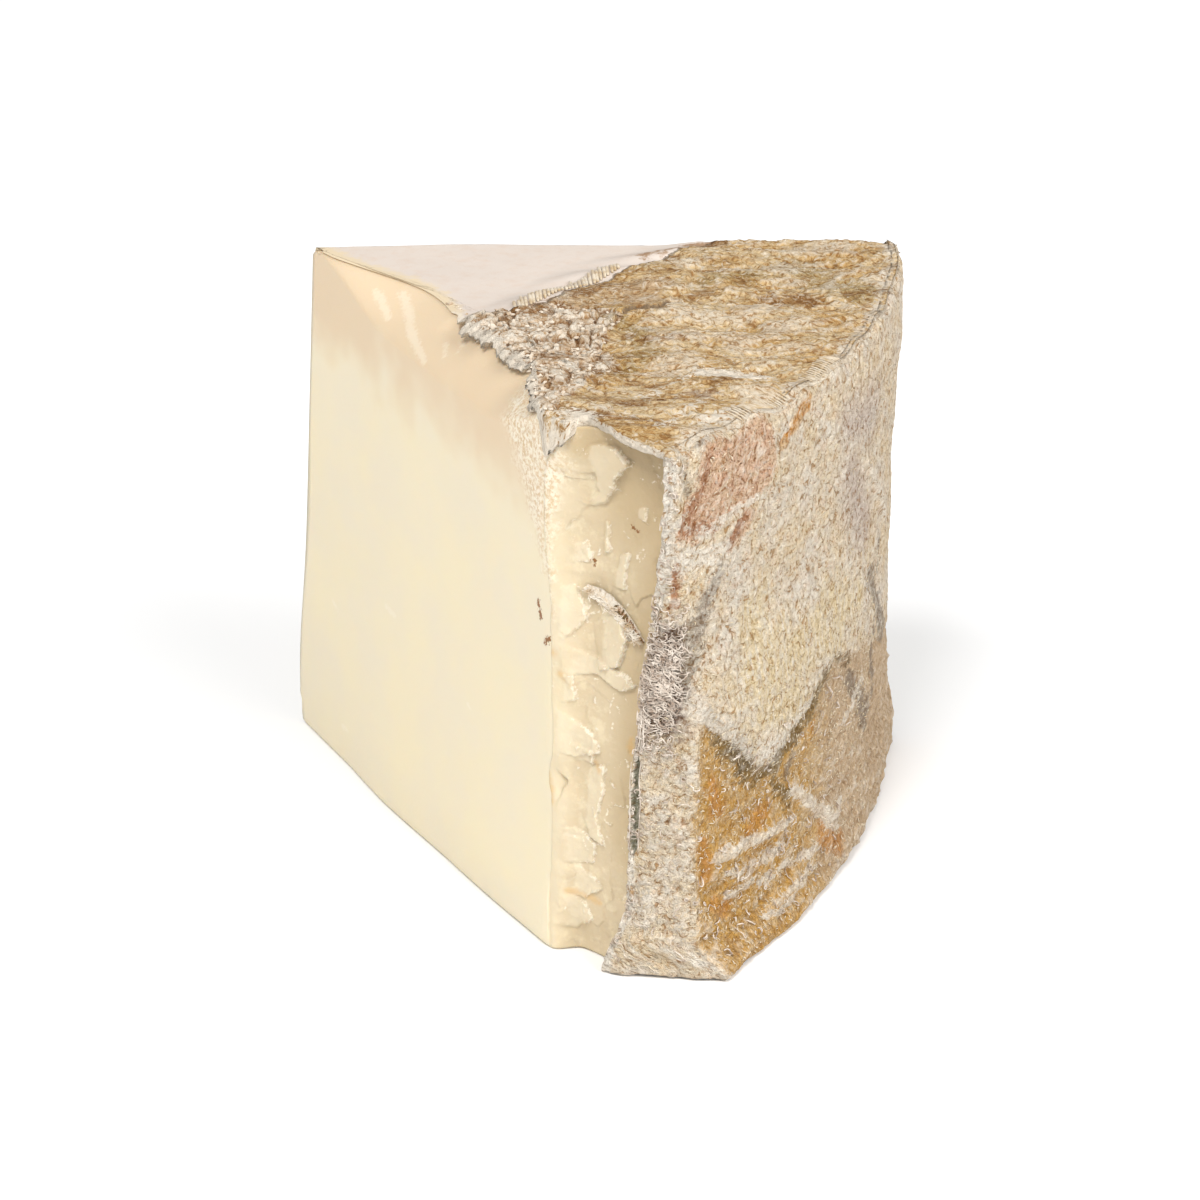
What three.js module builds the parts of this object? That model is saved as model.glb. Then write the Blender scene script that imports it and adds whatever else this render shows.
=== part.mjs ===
// A hand-cut wedge of cloth-bound farmhouse cheddar, in millimetres, +Z up.
// The wedge is one solid. It stands on a flat cut of its paste, with the drum's
// rind on top and round the curved side. Going round it anticlockwise from
// above: the tip, the smooth cut face, a strip where the paste broke off behind
// the rind, the rind's cut edge, a flat strip of rind, the curved side, the
// heel and the back cut face.
import * as THREE from 'three';

const { lerp, smoothstep, clamp } = THREE.MathUtils;

// Driving sizes of the wedge, measured from the vertical line of its tip.
const HEIGHT = 114;
const TIP_FOOT = { x: -2.5, y: 0.7 };
const TIP_TOP = { x: 3.1, y: -1.6 };
const CREASE_REACH = 121.3;
const CREASE_ANGLE = -32.3;
const RIND_EDGE_FOOT = 121.7;
const RIND_EDGE_LEAN = 6.8;
const RIND_EDGE_FRONT = -66;
const RIND_THICKNESS = 2.3;
const HEEL_TOP_ANGLE = 33.26;
const HEEL_FOOT_ANGLE = 28.26;

// Where the middle of the wedge's box lies, seen from the tip line.
const MIDDLE = { x: 69.02, y: -1.25 };

// The curved side: one arc under the top rim and a flatter, wider one at the foot.
const TOP_ARC = { x: -27.1, y: -22.7, radius: 161.9, start: -14.6 };
const FOOT_ARC = { x: -97, y: -50, radius: 237.3, start: -2.02 };
const FRONT_SWELL = 1.6;
const LOWER_FLARE = 0.4;
const FLARE_HEIGHTS = { from: 50, to: 80 };
const HEM_HEIGHT = 9;

// Rounding of the edges, as a width in plan and a drop in height. The outline
// at the foot is the wedge's widest, so the foot's rounding starts outside it.
const SHOULDER = { width: 10.6, slope: 0.8 };
const RIM = { width: 2.6, drop: 2.6 };
const TIP_CORNER = { width: 4.5, drop: 2.2 };
const BACK_EDGE = { width: 2, drop: 2 };
const FOOT_EDGE = { width: 1.2, drop: 2.4 };

// How far the broken strip lies behind the rind's cut edge.
const RECESS = { lower: 2.5, upper: 4.5, foot: 5 };
const OVERHANG_DROP = 4;
const FLAKE_SIZE = 9;
const FLAKE_LIFT = 0.6;
const FLAKE_TILT = 0.12;

// Flakes that stand up on the broken strip and hollows in it: where the middle
// lies along and up the strip, half the width and height, and how far it lifts.
const BREAKS = [
  { along: 7, up: 104, halfWidth: 9, halfHeight: 6.5, lift: 1.3 },
  { along: 9.5, up: 91, halfWidth: 2.2, halfHeight: 4.5, lift: 0.7 },
  { along: -0.5, up: 85, halfWidth: 2.4, halfHeight: 7.5, lift: 0.7 },
  { along: 20.5, up: 84, halfWidth: 2.2, halfHeight: 7.5, lift: 1 },
  { along: 14, up: 75, halfWidth: 6.5, halfHeight: 3, lift: 1.2 },
  { along: 8, up: 57, halfWidth: 7.5, halfHeight: 5.5, lift: 0.9 },
  { along: 9, up: 41, halfWidth: 4, halfHeight: 5.5, lift: -1.2 },
  { along: 1.5, up: 35, halfWidth: 2.2, halfHeight: 4, lift: -1 },
  { along: 6, up: 25, halfWidth: 6, halfHeight: 5, lift: 0.8 },
];

// Pleats of the cloth on the lower side: where each starts and ends along the
// side, as a share of the arc, how high it lies there, and how far it stands up.
const PLEATS = [
  { from: 0.03, to: 0.29, low: 23, high: 21, lift: 1.1 },
  { from: 0.05, to: 0.22, low: 15, high: 11.5, lift: 0.9 },
  { from: 0.15, to: 0.37, low: 5.5, high: 7.5, lift: 0.9 },
  { from: 0.45, to: 0.6, low: 34, high: 36, lift: 0.8 },
  { from: 0.3, to: 0.52, low: 25.5, high: 7, lift: 0.7 },
  { from: 0.56, to: 0.7, low: 86, high: 69, lift: 1.1 },
];
const PLEAT_WIDTH = 2.2;

// The top rind is thicker beyond the seam of the cloth, and crumpled.
const SEAM = { x: 59, spread: 5, backBend: 11 };
const THICK_RIND = 1.6;
const WRINKLE = { angle: 30.7, pitch: 13, height: 0.6 };
const LUMP = { size: 15, height: 0.9 };
const RELIEF_DEPTH = 12;

// The point of the top that its rings of triangles close in on. The whole rim
// can be seen from it.
const CROWN = { x: 84, y: 2 };

// How finely each stretch of the outline is divided.
const CUT_STEPS = 20;
const BROKEN_STEPS = 15;
const STRIP_STEPS = 4;
const SIDE_STEPS = 24;
const BACK_STEPS = 12;
const BODY_STEPS = 24;
const TOP_RINGS = 9;

const FOOT_LEVELS = [0, 0.7, 1.8, 3.4, 5.4, 7.8, 10.6];
const RIM_LEVELS = [13, 10.2, 8, 6.2, 4.7, 3.5, 2.5, 1.7, 1, 0.45, 0];

const HASH = { i: 374761393, j: 668265263, seed: 1274126177, mix: 1103515245 };
const HASH_RANGE = 4294967296;

function radians(degrees) {
  return THREE.MathUtils.degToRad(degrees);
}

function bell(value, middle, spread) {
  return Math.exp(-(((value - middle) / spread) ** 2));
}

// A repeatable number from 0 to 1 for each whole-number place.
function scatter(i, j, seed) {
  let h = Math.imul(i, HASH.i) ^ Math.imul(j, HASH.j) ^ Math.imul(seed, HASH.seed);
  h = Math.imul(h ^ (h >>> 13), HASH.mix);
  return ((h ^ (h >>> 16)) >>> 0) / HASH_RANGE;
}

// Smooth hills and hollows from -1 to 1, one step of u or v apart.
function hills(u, v, seed) {
  const i = Math.floor(u);
  const j = Math.floor(v);
  const s = smoothstep(u - i, 0, 1);
  const t = smoothstep(v - j, 0, 1);
  const near = lerp(scatter(i, j, seed), scatter(i + 1, j, seed), s);
  const far = lerp(scatter(i, j + 1, seed), scatter(i + 1, j + 1, seed), s);
  return 2 * lerp(near, far, t) - 1;
}

function tipAt(z) {
  const share = z / HEIGHT;
  const belly = bell(z, 17, 18);
  return new THREE.Vector2(
    lerp(TIP_FOOT.x, TIP_TOP.x, share) - belly,
    lerp(TIP_FOOT.y, TIP_TOP.y, share),
  );
}

// The line where the smooth cut face meets the broken strip.
function creaseAt(z) {
  const hollow = 4.3 * bell(z, 95, 16);
  const reach = CREASE_REACH - hollow - 1.3 * smoothstep(z, 105, HEIGHT);
  const angle = radians(CREASE_ANGLE);
  return new THREE.Vector2(reach * Math.cos(angle), reach * Math.sin(angle));
}

// The front corner of the rind's cut edge. Its foot juts forward and left.
function rindEdgeAt(z) {
  const jut = 1 - smoothstep(z, 0, 16);
  const lean = RIND_EDGE_LEAN * smoothstep(z, 28, 112);
  return new THREE.Vector2(
    RIND_EDGE_FOOT + lean - 4.2 * jut,
    RIND_EDGE_FRONT - 2.4 * jut,
  );
}

// How much of the foot's wider arc shows at this height.
function flareAt(z) {
  const skirt = LOWER_FLARE * (1 - smoothstep(z, FLARE_HEIGHTS.from, FLARE_HEIGHTS.to));
  const hem = (1 - LOWER_FLARE) * (1 - smoothstep(z, 0, HEM_HEIGHT));
  return skirt + hem;
}

function onArc(arc, heelAngle, share, swell) {
  const angle = radians(lerp(arc.start, heelAngle, share));
  const radius = arc.radius + swell;
  return new THREE.Vector2(arc.x + radius * Math.cos(angle), arc.y + radius * Math.sin(angle));
}

function sideAt(share, z) {
  const swell = FRONT_SWELL * (1 - smoothstep(share, 0.03, 0.25));
  const top = onArc(TOP_ARC, HEEL_TOP_ANGLE, share, swell);
  const foot = onArc(FOOT_ARC, HEEL_FOOT_ANGLE, share, 0);
  const waist = 0.9 * bell(z, 48, 30) - 0.7 * bell(z, 99, 14);
  const place = top.lerp(foot, flareAt(z));
  place.x -= waist * smoothstep(share, 0.6, 1);
  return place;
}

// The share of the cut-off corner's rounding at a height: 0 below it, 1 on top.
function rounding(z, drop) {
  const rise = clamp((z - (HEIGHT - drop)) / drop, 0, 1);
  return 1 - Math.sqrt(1 - rise * rise);
}

function footRounding(z) {
  const fall = clamp(1 - z / FOOT_EDGE.drop, 0, 1);
  const swell = 0.8 * (1 - smoothstep(z, HEM_HEIGHT, 2 * HEM_HEIGHT));
  return FOOT_EDGE.width * (1 - Math.sqrt(1 - fall * fall)) - swell;
}

// Moves a point of the outline inward by a distance, given the way along it.
function inward(place, along, distance) {
  const size = Math.hypot(along.x, along.y);
  return new THREE.Vector2(
    place.x - (along.y / size) * distance,
    place.y + (along.x / size) * distance,
  );
}

function shoulderWidth(share) {
  return SHOULDER.width * smoothstep(share, 0.02, 0.34) * (1 - smoothstep(share, 0.74, 1));
}

function cutFace(z) {
  const start = tipAt(z);
  const along = creaseAt(z).sub(start);
  const points = [];
  for (let i = 1; i <= CUT_STEPS; i += 1) {
    const share = i / (CUT_STEPS + 1);
    const width = shoulderWidth(share) + 0.6;
    const drop = width * SHOULDER.slope;
    const rise = clamp((z - (HEIGHT - drop)) / drop, 0, 1);
    const wave = 0.35 * hills(share * 5, z / 26, 3);
    const belly = 1.5 * Math.sin(Math.PI * share) * Math.exp(-z / 25);
    const place = start.clone().addScaledVector(along, share);
    points.push(inward(place, along, width * rise ** 1.5 - belly - wave + 0.5 * footRounding(z)));
  }
  return points;
}

// The height of the nearest flake of a patchwork of tilted flakes.
function patchwork(along, up) {
  const column = Math.floor(along / FLAKE_SIZE);
  const row = Math.floor(up / FLAKE_SIZE);
  let nearest = Infinity;
  let height = 0;
  for (let i = column - 1; i <= column + 1; i += 1) {
    for (let j = row - 1; j <= row + 1; j += 1) {
      const across = along - (i + scatter(i, j, 11)) * FLAKE_SIZE;
      const above = up - (j + scatter(i, j, 12)) * FLAKE_SIZE;
      const distance = Math.hypot(across, above);
      if (distance < nearest) {
        nearest = distance;
        const tiltAcross = FLAKE_TILT * (2 * scatter(i, j, 13) - 1);
        const tiltUp = FLAKE_TILT * (2 * scatter(i, j, 14) - 1);
        height = FLAKE_LIFT * (2 * scatter(i, j, 15) - 1) + tiltAcross * across + tiltUp * above;
      }
    }
  }
  return height;
}

// A single flake or hollow, steepest at its right-hand end.
function breakHeight(flaw, along, up) {
  const across = (along - flaw.along) / flaw.halfWidth;
  const above = (up - flaw.up) / flaw.halfHeight;
  const ragged = 0.22 * hills(along / 2.2, up / 2.2, 21);
  const inside = 1 - smoothstep(Math.hypot(across, above) + ragged, 0.86, 1.06);
  return flaw.lift * inside * clamp(0.65 + 0.35 * across, 0, 1);
}

function breakRelief(along, up) {
  let height = patchwork(along, up) + 0.2 * hills(along / 3.1, up / 3.7, 16);
  for (const flaw of BREAKS) {
    height += breakHeight(flaw, along, up);
  }
  return height;
}

// How far the broken paste lies behind the rind's edge at this height.
function recessAt(z) {
  const upper = (RECESS.upper - RECESS.lower) * smoothstep(z, 50, 80);
  const foot = (RECESS.foot - RECESS.lower) * (1 - smoothstep(z, 2, 14));
  const open = 1 - smoothstep(z, HEIGHT - OVERHANG_DROP, HEIGHT - OVERHANG_DROP / 2);
  return (RECESS.lower + upper + foot) * open;
}

function brokenStrip(z) {
  const start = creaseAt(z);
  const edge = rindEdgeAt(z);
  const along = edge.clone().sub(start);
  const points = [start];
  for (let i = 1; i <= BROKEN_STEPS; i += 1) {
    const share = i / BROKEN_STEPS;
    const place = start.clone().addScaledVector(along, share);
    const fade = smoothstep(share, 0, 0.15) * (1 - smoothstep(share, 0.86, 1))
      * (1 - smoothstep(z, HEIGHT - 5, HEIGHT - 2)) * smoothstep(z, -3, 3);
    const notch = 4 * bell(share, 0.28, 0.2) * smoothstep(z, HEIGHT - 4, HEIGHT);
    const depth = recessAt(z) * smoothstep(share, 0, 0.3) + notch;
    place.y += depth - fade * breakRelief(share * along.x, z);
    points.push(place);
  }
  return points;
}

// The rind's own cut edge, seen from the front as a narrow band.
function rindLip(z) {
  const edge = rindEdgeAt(z);
  const edgeInset = RIM.width * 0.4 * rounding(z, RIM.drop) + footRounding(z) * 0.5;
  const thin = RIND_THICKNESS * (1 - 0.3 * hills(0.5, z / 9, 31));
  return [
    new THREE.Vector2(edge.x + 0.2, edge.y + edgeInset),
    new THREE.Vector2(edge.x + thin, edge.y + 0.35 + edgeInset),
  ];
}

// The height of the cloth's pleats at a place on the curved side.
function pleatHeight(share, z) {
  let height = 0;
  for (const pleat of PLEATS) {
    const way = (share - pleat.from) / (pleat.to - pleat.from);
    const middle = lerp(pleat.low, pleat.high, clamp(way, 0, 1));
    const reach = smoothstep(way, -0.1, 0.15) * (1 - smoothstep(way, 0.85, 1.1));
    height += pleat.lift * reach * bell(z, middle, PLEAT_WIDTH);
  }
  return height;
}

function sideRelief(share, z) {
  const broad = 0.5 * hills(share * 9, z / 15, 41);
  const fine = 0.3 * hills(share * 24, z / 6, 42);
  const heelBump = 1.1 * bell(share, 0.97, 0.1) * bell(z, 7, 6);
  return broad + fine + pleatHeight(share, z) + heelBump;
}

// The flat strip of rind on the lower front, between its cut edge and the side.
function frontStrip(z) {
  const start = rindLip(z)[1];
  const end = sideAt(0, z);
  const along = end.clone().sub(start);
  const points = [];
  for (let i = 1; i < STRIP_STEPS; i += 1) {
    const share = i / STRIP_STEPS;
    const place = start.clone().addScaledVector(along, share);
    const pucker = 0.6 * hills(share * 3, z / 8, 51) * smoothstep(along.length(), 3, 10);
    points.push(inward(place, along, footRounding(z) - pucker));
  }
  return points;
}

function curvedSide(z) {
  const points = [];
  for (let i = 0; i <= SIDE_STEPS; i += 1) {
    const share = i / SIDE_STEPS;
    const place = sideAt(share, z);
    const along = sideAt(share + 0.01, z).sub(place);
    const ends = smoothstep(share, -0.04, 0.06) * (1 - smoothstep(share, 0.96, 1.04));
    const inset = RIM.width * rounding(z, RIM.drop) + footRounding(z);
    points.push(inward(place, along, inset - ends * sideRelief(share, z)));
  }
  return points;
}

function backFace(z) {
  const start = sideAt(1, z);
  const along = tipAt(z).sub(start);
  const points = [];
  for (let i = 1; i <= BACK_STEPS; i += 1) {
    const share = i / (BACK_STEPS + 1);
    const place = start.clone().addScaledVector(along, share);
    const belly = 2.6 * Math.sin(Math.PI * share);
    const wave = 0.35 * hills(share * 5, z / 26, 61);
    const inset = BACK_EDGE.width * rounding(z, BACK_EDGE.drop) + 0.5 * footRounding(z);
    points.push(inward(place, along, inset - belly - wave));
  }
  return points;
}

function tipPoint(z) {
  const place = tipAt(z);
  const heel = 2.4 * (1 - smoothstep(z, 0, 7));
  place.x += TIP_CORNER.width * rounding(z, TIP_CORNER.drop) + heel;
  return place;
}

// The wedge's outline at one height, anticlockwise from the tip.
function outlineAt(z) {
  return [
    tipPoint(z),
    ...cutFace(z),
    ...brokenStrip(z),
    ...rindLip(z),
    ...frontStrip(z),
    ...curvedSide(z),
    ...backFace(z),
  ];
}

// The crumpled surface of the top rind, above or below the wedge's height.
function topRelief(x, y) {
  const seam = SEAM.x + SEAM.backBend * smoothstep(y, 12, 45);
  const thick = smoothstep(x, seam - SEAM.spread, seam + SEAM.spread);
  const angle = radians(WRINKLE.angle);
  const across = -x * Math.sin(angle) + y * Math.cos(angle);
  const alongWay = x * Math.cos(angle) + y * Math.sin(angle);
  const bend = 3 * hills(alongWay / 22, across / 22, 71);
  const wrinkle = WRINKLE.height * Math.sin((2 * Math.PI * (across + bend)) / WRINKLE.pitch);
  const lump = LUMP.height * hills(x / LUMP.size, y / LUMP.size, 72);
  return thick * (THICK_RIND + wrinkle + 0.7 * lump) + 0.3 * lump;
}

function levels() {
  const low = FOOT_LEVELS[FOOT_LEVELS.length - 1];
  const high = HEIGHT - RIM_LEVELS[0];
  const heights = [...FOOT_LEVELS];
  for (let i = 1; i < BODY_STEPS; i += 1) {
    heights.push(lerp(low, high, i / BODY_STEPS));
  }
  return [...heights, ...RIM_LEVELS.map((below) => HEIGHT - below)];
}

// Every ring of points from the foot up to the rim and in over the top.
function wedgeRings() {
  const rings = levels().map((z) => outlineAt(z).map((place) => {
    const raised = topRelief(place.x, place.y) * smoothstep(z, HEIGHT - RELIEF_DEPTH, HEIGHT);
    return new THREE.Vector3(place.x, place.y, z + raised);
  }));
  const rim = rings[rings.length - 1];
  for (let i = 1; i < TOP_RINGS; i += 1) {
    const share = 1 - i / TOP_RINGS;
    rings.push(rim.map((corner) => {
      const x = lerp(CROWN.x, corner.x, share);
      const y = lerp(CROWN.y, corner.y, share);
      return new THREE.Vector3(x, y, HEIGHT + topRelief(x, y));
    }));
  }
  return rings;
}

function wedgeGeometry() {
  const rings = wedgeRings();
  const count = rings[0].length;
  const places = [];
  for (const corner of rings.flat()) {
    places.push(corner.x - MIDDLE.x, corner.y - MIDDLE.y, corner.z);
  }
  const faces = [];
  for (let k = 0; k + 1 < rings.length; k += 1) {
    for (let i = 0; i < count; i += 1) {
      const next = (i + 1) % count;
      const low = k * count;
      const high = low + count;
      faces.push(low + i, low + next, high + next, low + i, high + next, high + i);
    }
  }
  const middle = rings.length * count;
  places.push(CROWN.x - MIDDLE.x, CROWN.y - MIDDLE.y, HEIGHT + topRelief(CROWN.x, CROWN.y));
  for (let i = 0; i < count; i += 1) {
    faces.push(middle - count + i, middle - count + ((i + 1) % count), middle);
  }
  const footOutline = rings[0].map((corner) => new THREE.Vector2(corner.x, corner.y));
  for (const [a, b, c] of THREE.ShapeUtils.triangulateShape(footOutline, [])) {
    faces.push(a, c, b);
  }
  const geometry = new THREE.BufferGeometry();
  geometry.setAttribute('position', new THREE.Float32BufferAttribute(places, 3));
  geometry.setIndex(faces);
  geometry.computeVertexNormals();
  return geometry;
}

function cheesePaste() {
  return new THREE.MeshStandardMaterial({ color: '#ecdcb6', roughness: 0.5, metalness: 0 });
}

const wedge = new THREE.Mesh(wedgeGeometry(), cheesePaste());
wedge.name = 'cheddar_wedge';

const cheddar = new THREE.Group();
cheddar.add(wedge);

export default cheddar;
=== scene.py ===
import math

import bpy
import numpy as np
from bpy.props import FloatProperty, FloatVectorProperty, IntProperty, PointerProperty
from mathutils import Matrix, Vector


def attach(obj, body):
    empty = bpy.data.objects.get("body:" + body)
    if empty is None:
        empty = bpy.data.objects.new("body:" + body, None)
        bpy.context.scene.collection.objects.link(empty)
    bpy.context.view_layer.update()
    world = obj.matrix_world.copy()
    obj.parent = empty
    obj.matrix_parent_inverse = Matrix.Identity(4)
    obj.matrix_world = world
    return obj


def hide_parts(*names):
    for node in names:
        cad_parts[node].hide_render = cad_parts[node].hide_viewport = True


bl_info = {
    "name": "Cheddar Wedge",
    "version": (1, 0, 0),
    "blender": (4, 5, 0),
    "location": "View3D > Sidebar > Cheddar",
    "description": "A hand-cut wedge of cloth-bound farmhouse cheddar with its rinds",
    "category": "Add Mesh",
}

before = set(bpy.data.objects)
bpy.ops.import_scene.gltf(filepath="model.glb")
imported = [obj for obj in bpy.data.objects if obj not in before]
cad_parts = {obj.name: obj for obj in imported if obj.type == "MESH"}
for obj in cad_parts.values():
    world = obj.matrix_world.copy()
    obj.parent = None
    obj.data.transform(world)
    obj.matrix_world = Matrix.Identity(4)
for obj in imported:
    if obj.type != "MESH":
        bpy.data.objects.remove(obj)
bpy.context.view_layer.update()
NODE = "cheddar_wedge"

# Driving sizes of the wedge in millimetres, measured from its tip line. They
# are the solid's own, so the pieces made here fill the same space.
MM = 0.001
HEIGHT = 114.0
MIDDLE = (69.02, -1.25)
TIP_FOOT = (-2.5, 0.7)
TIP_TOP = (3.1, -1.6)
CREASE_REACH = 121.3
CREASE_ANGLE = math.radians(-32.3)
RIND_EDGE_FOOT = 121.7
RIND_EDGE_LEAN = 6.8
RIND_EDGE_FRONT = -66.0
TOP_ARC = {"x": -27.1, "y": -22.7, "radius": 161.9, "start": -14.6, "heel": 33.26}
FOOT_ARC = {"x": -97.0, "y": -50.0, "radius": 237.3, "start": -2.02, "heel": 28.26}
FRONT_SWELL = 1.6
LOWER_FLARE = 0.4
HEM_HEIGHT = 9.0
SHOULDER_WIDTH = 10.6
SHOULDER_SLOPE = 0.8
RIM_RADIUS = 2.6
TIP_CORNER = 4.5
FOOT_EDGE = (1.2, 2.4)
RELIEF_DEPTH = 12.0
FOLD_DEGREES = 30.7
CROWN = (84.0, 2.0)
SIDE_LENGTH = 140.0
BACK_HOLLOW = 2.6
BACK_ROUNDING = 2.0

# Sizes that only the visual pieces have, in millimetres too.
LIP_WIDTH = 2.3
CREASE_WEAR = 0.38
CREASE_REST = 3.0
RIM_SINK = 0.35
CAP_DROP = 2.6
CORNER_REACH = 1.5
ARCH_DROP = 7.0
# How far the arch reaches, as a share of the broken strip's width.
ARCH_WIDTH = 0.27
SLIVERS = 55
# A mask's value far outside of its stain.
FAR = 20.0
# A pattern that isn't squeezed along any axis.
EVEN = (1.0, 1.0, 1.0)

# How many points each part of a wall or an edge has across it.
CUT_POINTS = 110
BREAK_POINTS = 100
UNDER_POINTS = 12
BACK_POINTS = 24
STRIP_POINTS = 40
SIDE_POINTS = 286
LIP_POINTS = 15
INNER_POINTS = 14
TOP_EDGE_POINTS = 200
OVER_POINTS = 60
ROUND_POINTS = 400
RIM_RINGS = 10
# Where along the cut face the top rind's own edge starts, as a share.
TOP_CUT_START = 0.04

# Torn flakes and hollows on the broken strip: corners as (x, z) places on it,
# and how far each stands up from its left edge to its right.
FLAKES = (
    (1.5, (111.9, 111.0), (114.9, 109.8), (117.2, 106.9), (114.8, 104.3), (113.7, 101.3),
     (112.1, 98.2), (107.5, 96.7), (104.2, 99.2), (104.0, 102.4), (105.8, 106.0), (108.5, 110.5)),
    (-0.7, (105.8, 103.5), (109.6, 104.6), (110.2, 100.4), (108.0, 98.2), (105.6, 99.8)),
    (0.7, (97.0, 91.0), (100.6, 91.2), (101.2, 86.0), (100.3, 82.5), (97.6, 83.5)),
    (0.8, (111.0, 94.5), (112.4, 94.2), (112.8, 88.5), (111.4, 87.2)),
    (0.5, (103.5, 88.6), (108.0, 89.2), (109.0, 85.4), (104.0, 84.5)),
    (0.7, (113.4, 81.0), (115.6, 88.0), (117.2, 88.6), (117.4, 81.0)),
    (0.5, (117.4, 98.0), (120.6, 98.6), (121.0, 95.4), (118.8, 96.4)),
    (1.6, (108.6, 78.0), (111.7, 77.2), (117.5, 75.0), (119.2, 71.4), (117.2, 64.8), (112.6, 63.4),
     (110.8, 69.6)),
    (0.8, (101.0, 79.5), (106.4, 80.4), (109.2, 74.0), (105.0, 68.4), (100.2, 72.0)),
    (1.0, (97.5, 65.8), (104.0, 67.6), (110.0, 66.4), (116.0, 64.6), (122.0, 62.4), (118.0, 60.2),
     (111.0, 62.2), (104.0, 60.8), (98.0, 62.0)),
    (0.8, (103.6, 61.0), (107.2, 61.4), (108.2, 56.0), (104.4, 55.0)),
    (0.7, (98.0, 53.2), (104.5, 53.6), (112.0, 49.6), (113.4, 45.8), (108.0, 43.6), (102.0, 45.6),
     (97.8, 47.8)),
    (0.7, (106.8, 47.0), (112.2, 46.0), (111.6, 42.6), (107.6, 43.0)),
    (0.7, (107.8, 39.0), (111.6, 42.2), (114.3, 42.9), (114.4, 37.3), (113.1, 31.5), (114.8, 25.2),
     (111.2, 26.6), (109.0, 33.0)),
    (-0.9, (100.4, 39.4), (104.0, 40.2), (106.0, 37.6), (104.0, 31.2), (101.4, 32.0)),
    (0.6, (103.0, 27.4), (108.0, 28.6), (113.0, 25.0), (112.0, 20.6), (106.0, 19.6), (102.0, 22.4)),
    (0.6, (104.0, 18.6), (109.0, 19.6), (114.4, 15.4), (110.0, 12.4), (104.6, 14.0)),
    (0.5, (103.0, 12.0), (108.0, 12.6), (112.6, 8.2), (108.0, 4.6), (102.6, 6.0)),
)
# Hollows on the broken strip where the paste is a deeper yellow.
AMBER_HOLLOWS = (
    (101.0, 38.5, 1.0, 103.0, 33.0, 0.9),
    (100.6, 67.2, 0.5, 102.8, 65.4, 0.9),
    (107.0, 13.6, 0.5, 113.5, 12.0, 0.7),
    (120.6, 50.4, 0.7, 120.8, 47.6, 0.5),
    (104.5, 61.5, 0.5, 106.8, 59.5, 0.6),
    (112.0, 43.2, 0.4, 113.0, 41.5, 0.4),
)
# Brown specks and the crack by the line where the faces meet.
BROWN_SPECKS = (
    (97.1, 74.4, 0.4, 98.4, 71.4, 0.5),
    (99.7, 66.2, 0.3, 101.3, 67.9, 0.7),
    (109.4, 85.6, 0.3, 109.6, 84.6, 0.3),
    (117.5, 94.0, 0.3, 118.6, 93.4, 0.3),
)

# Pleats of the cloth: start and end as a share of the side, their heights and
# how far each stands up.
PLEATS = (
    (0.01, 0.28, 25.5, 22.0, 1.1),
    (0.09, 0.28, 17.0, 17.5, 0.9),
    (0.18, 0.36, 6.5, 8.5, 0.9),
    (0.45, 0.6, 34.0, 36.0, 0.8),
    (0.3, 0.47, 26.0, 11.5, 0.8),
    (0.55, 0.69, 88.5, 68.0, 1.3),
)
PLEAT_WIDTH = 2.2

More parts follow.
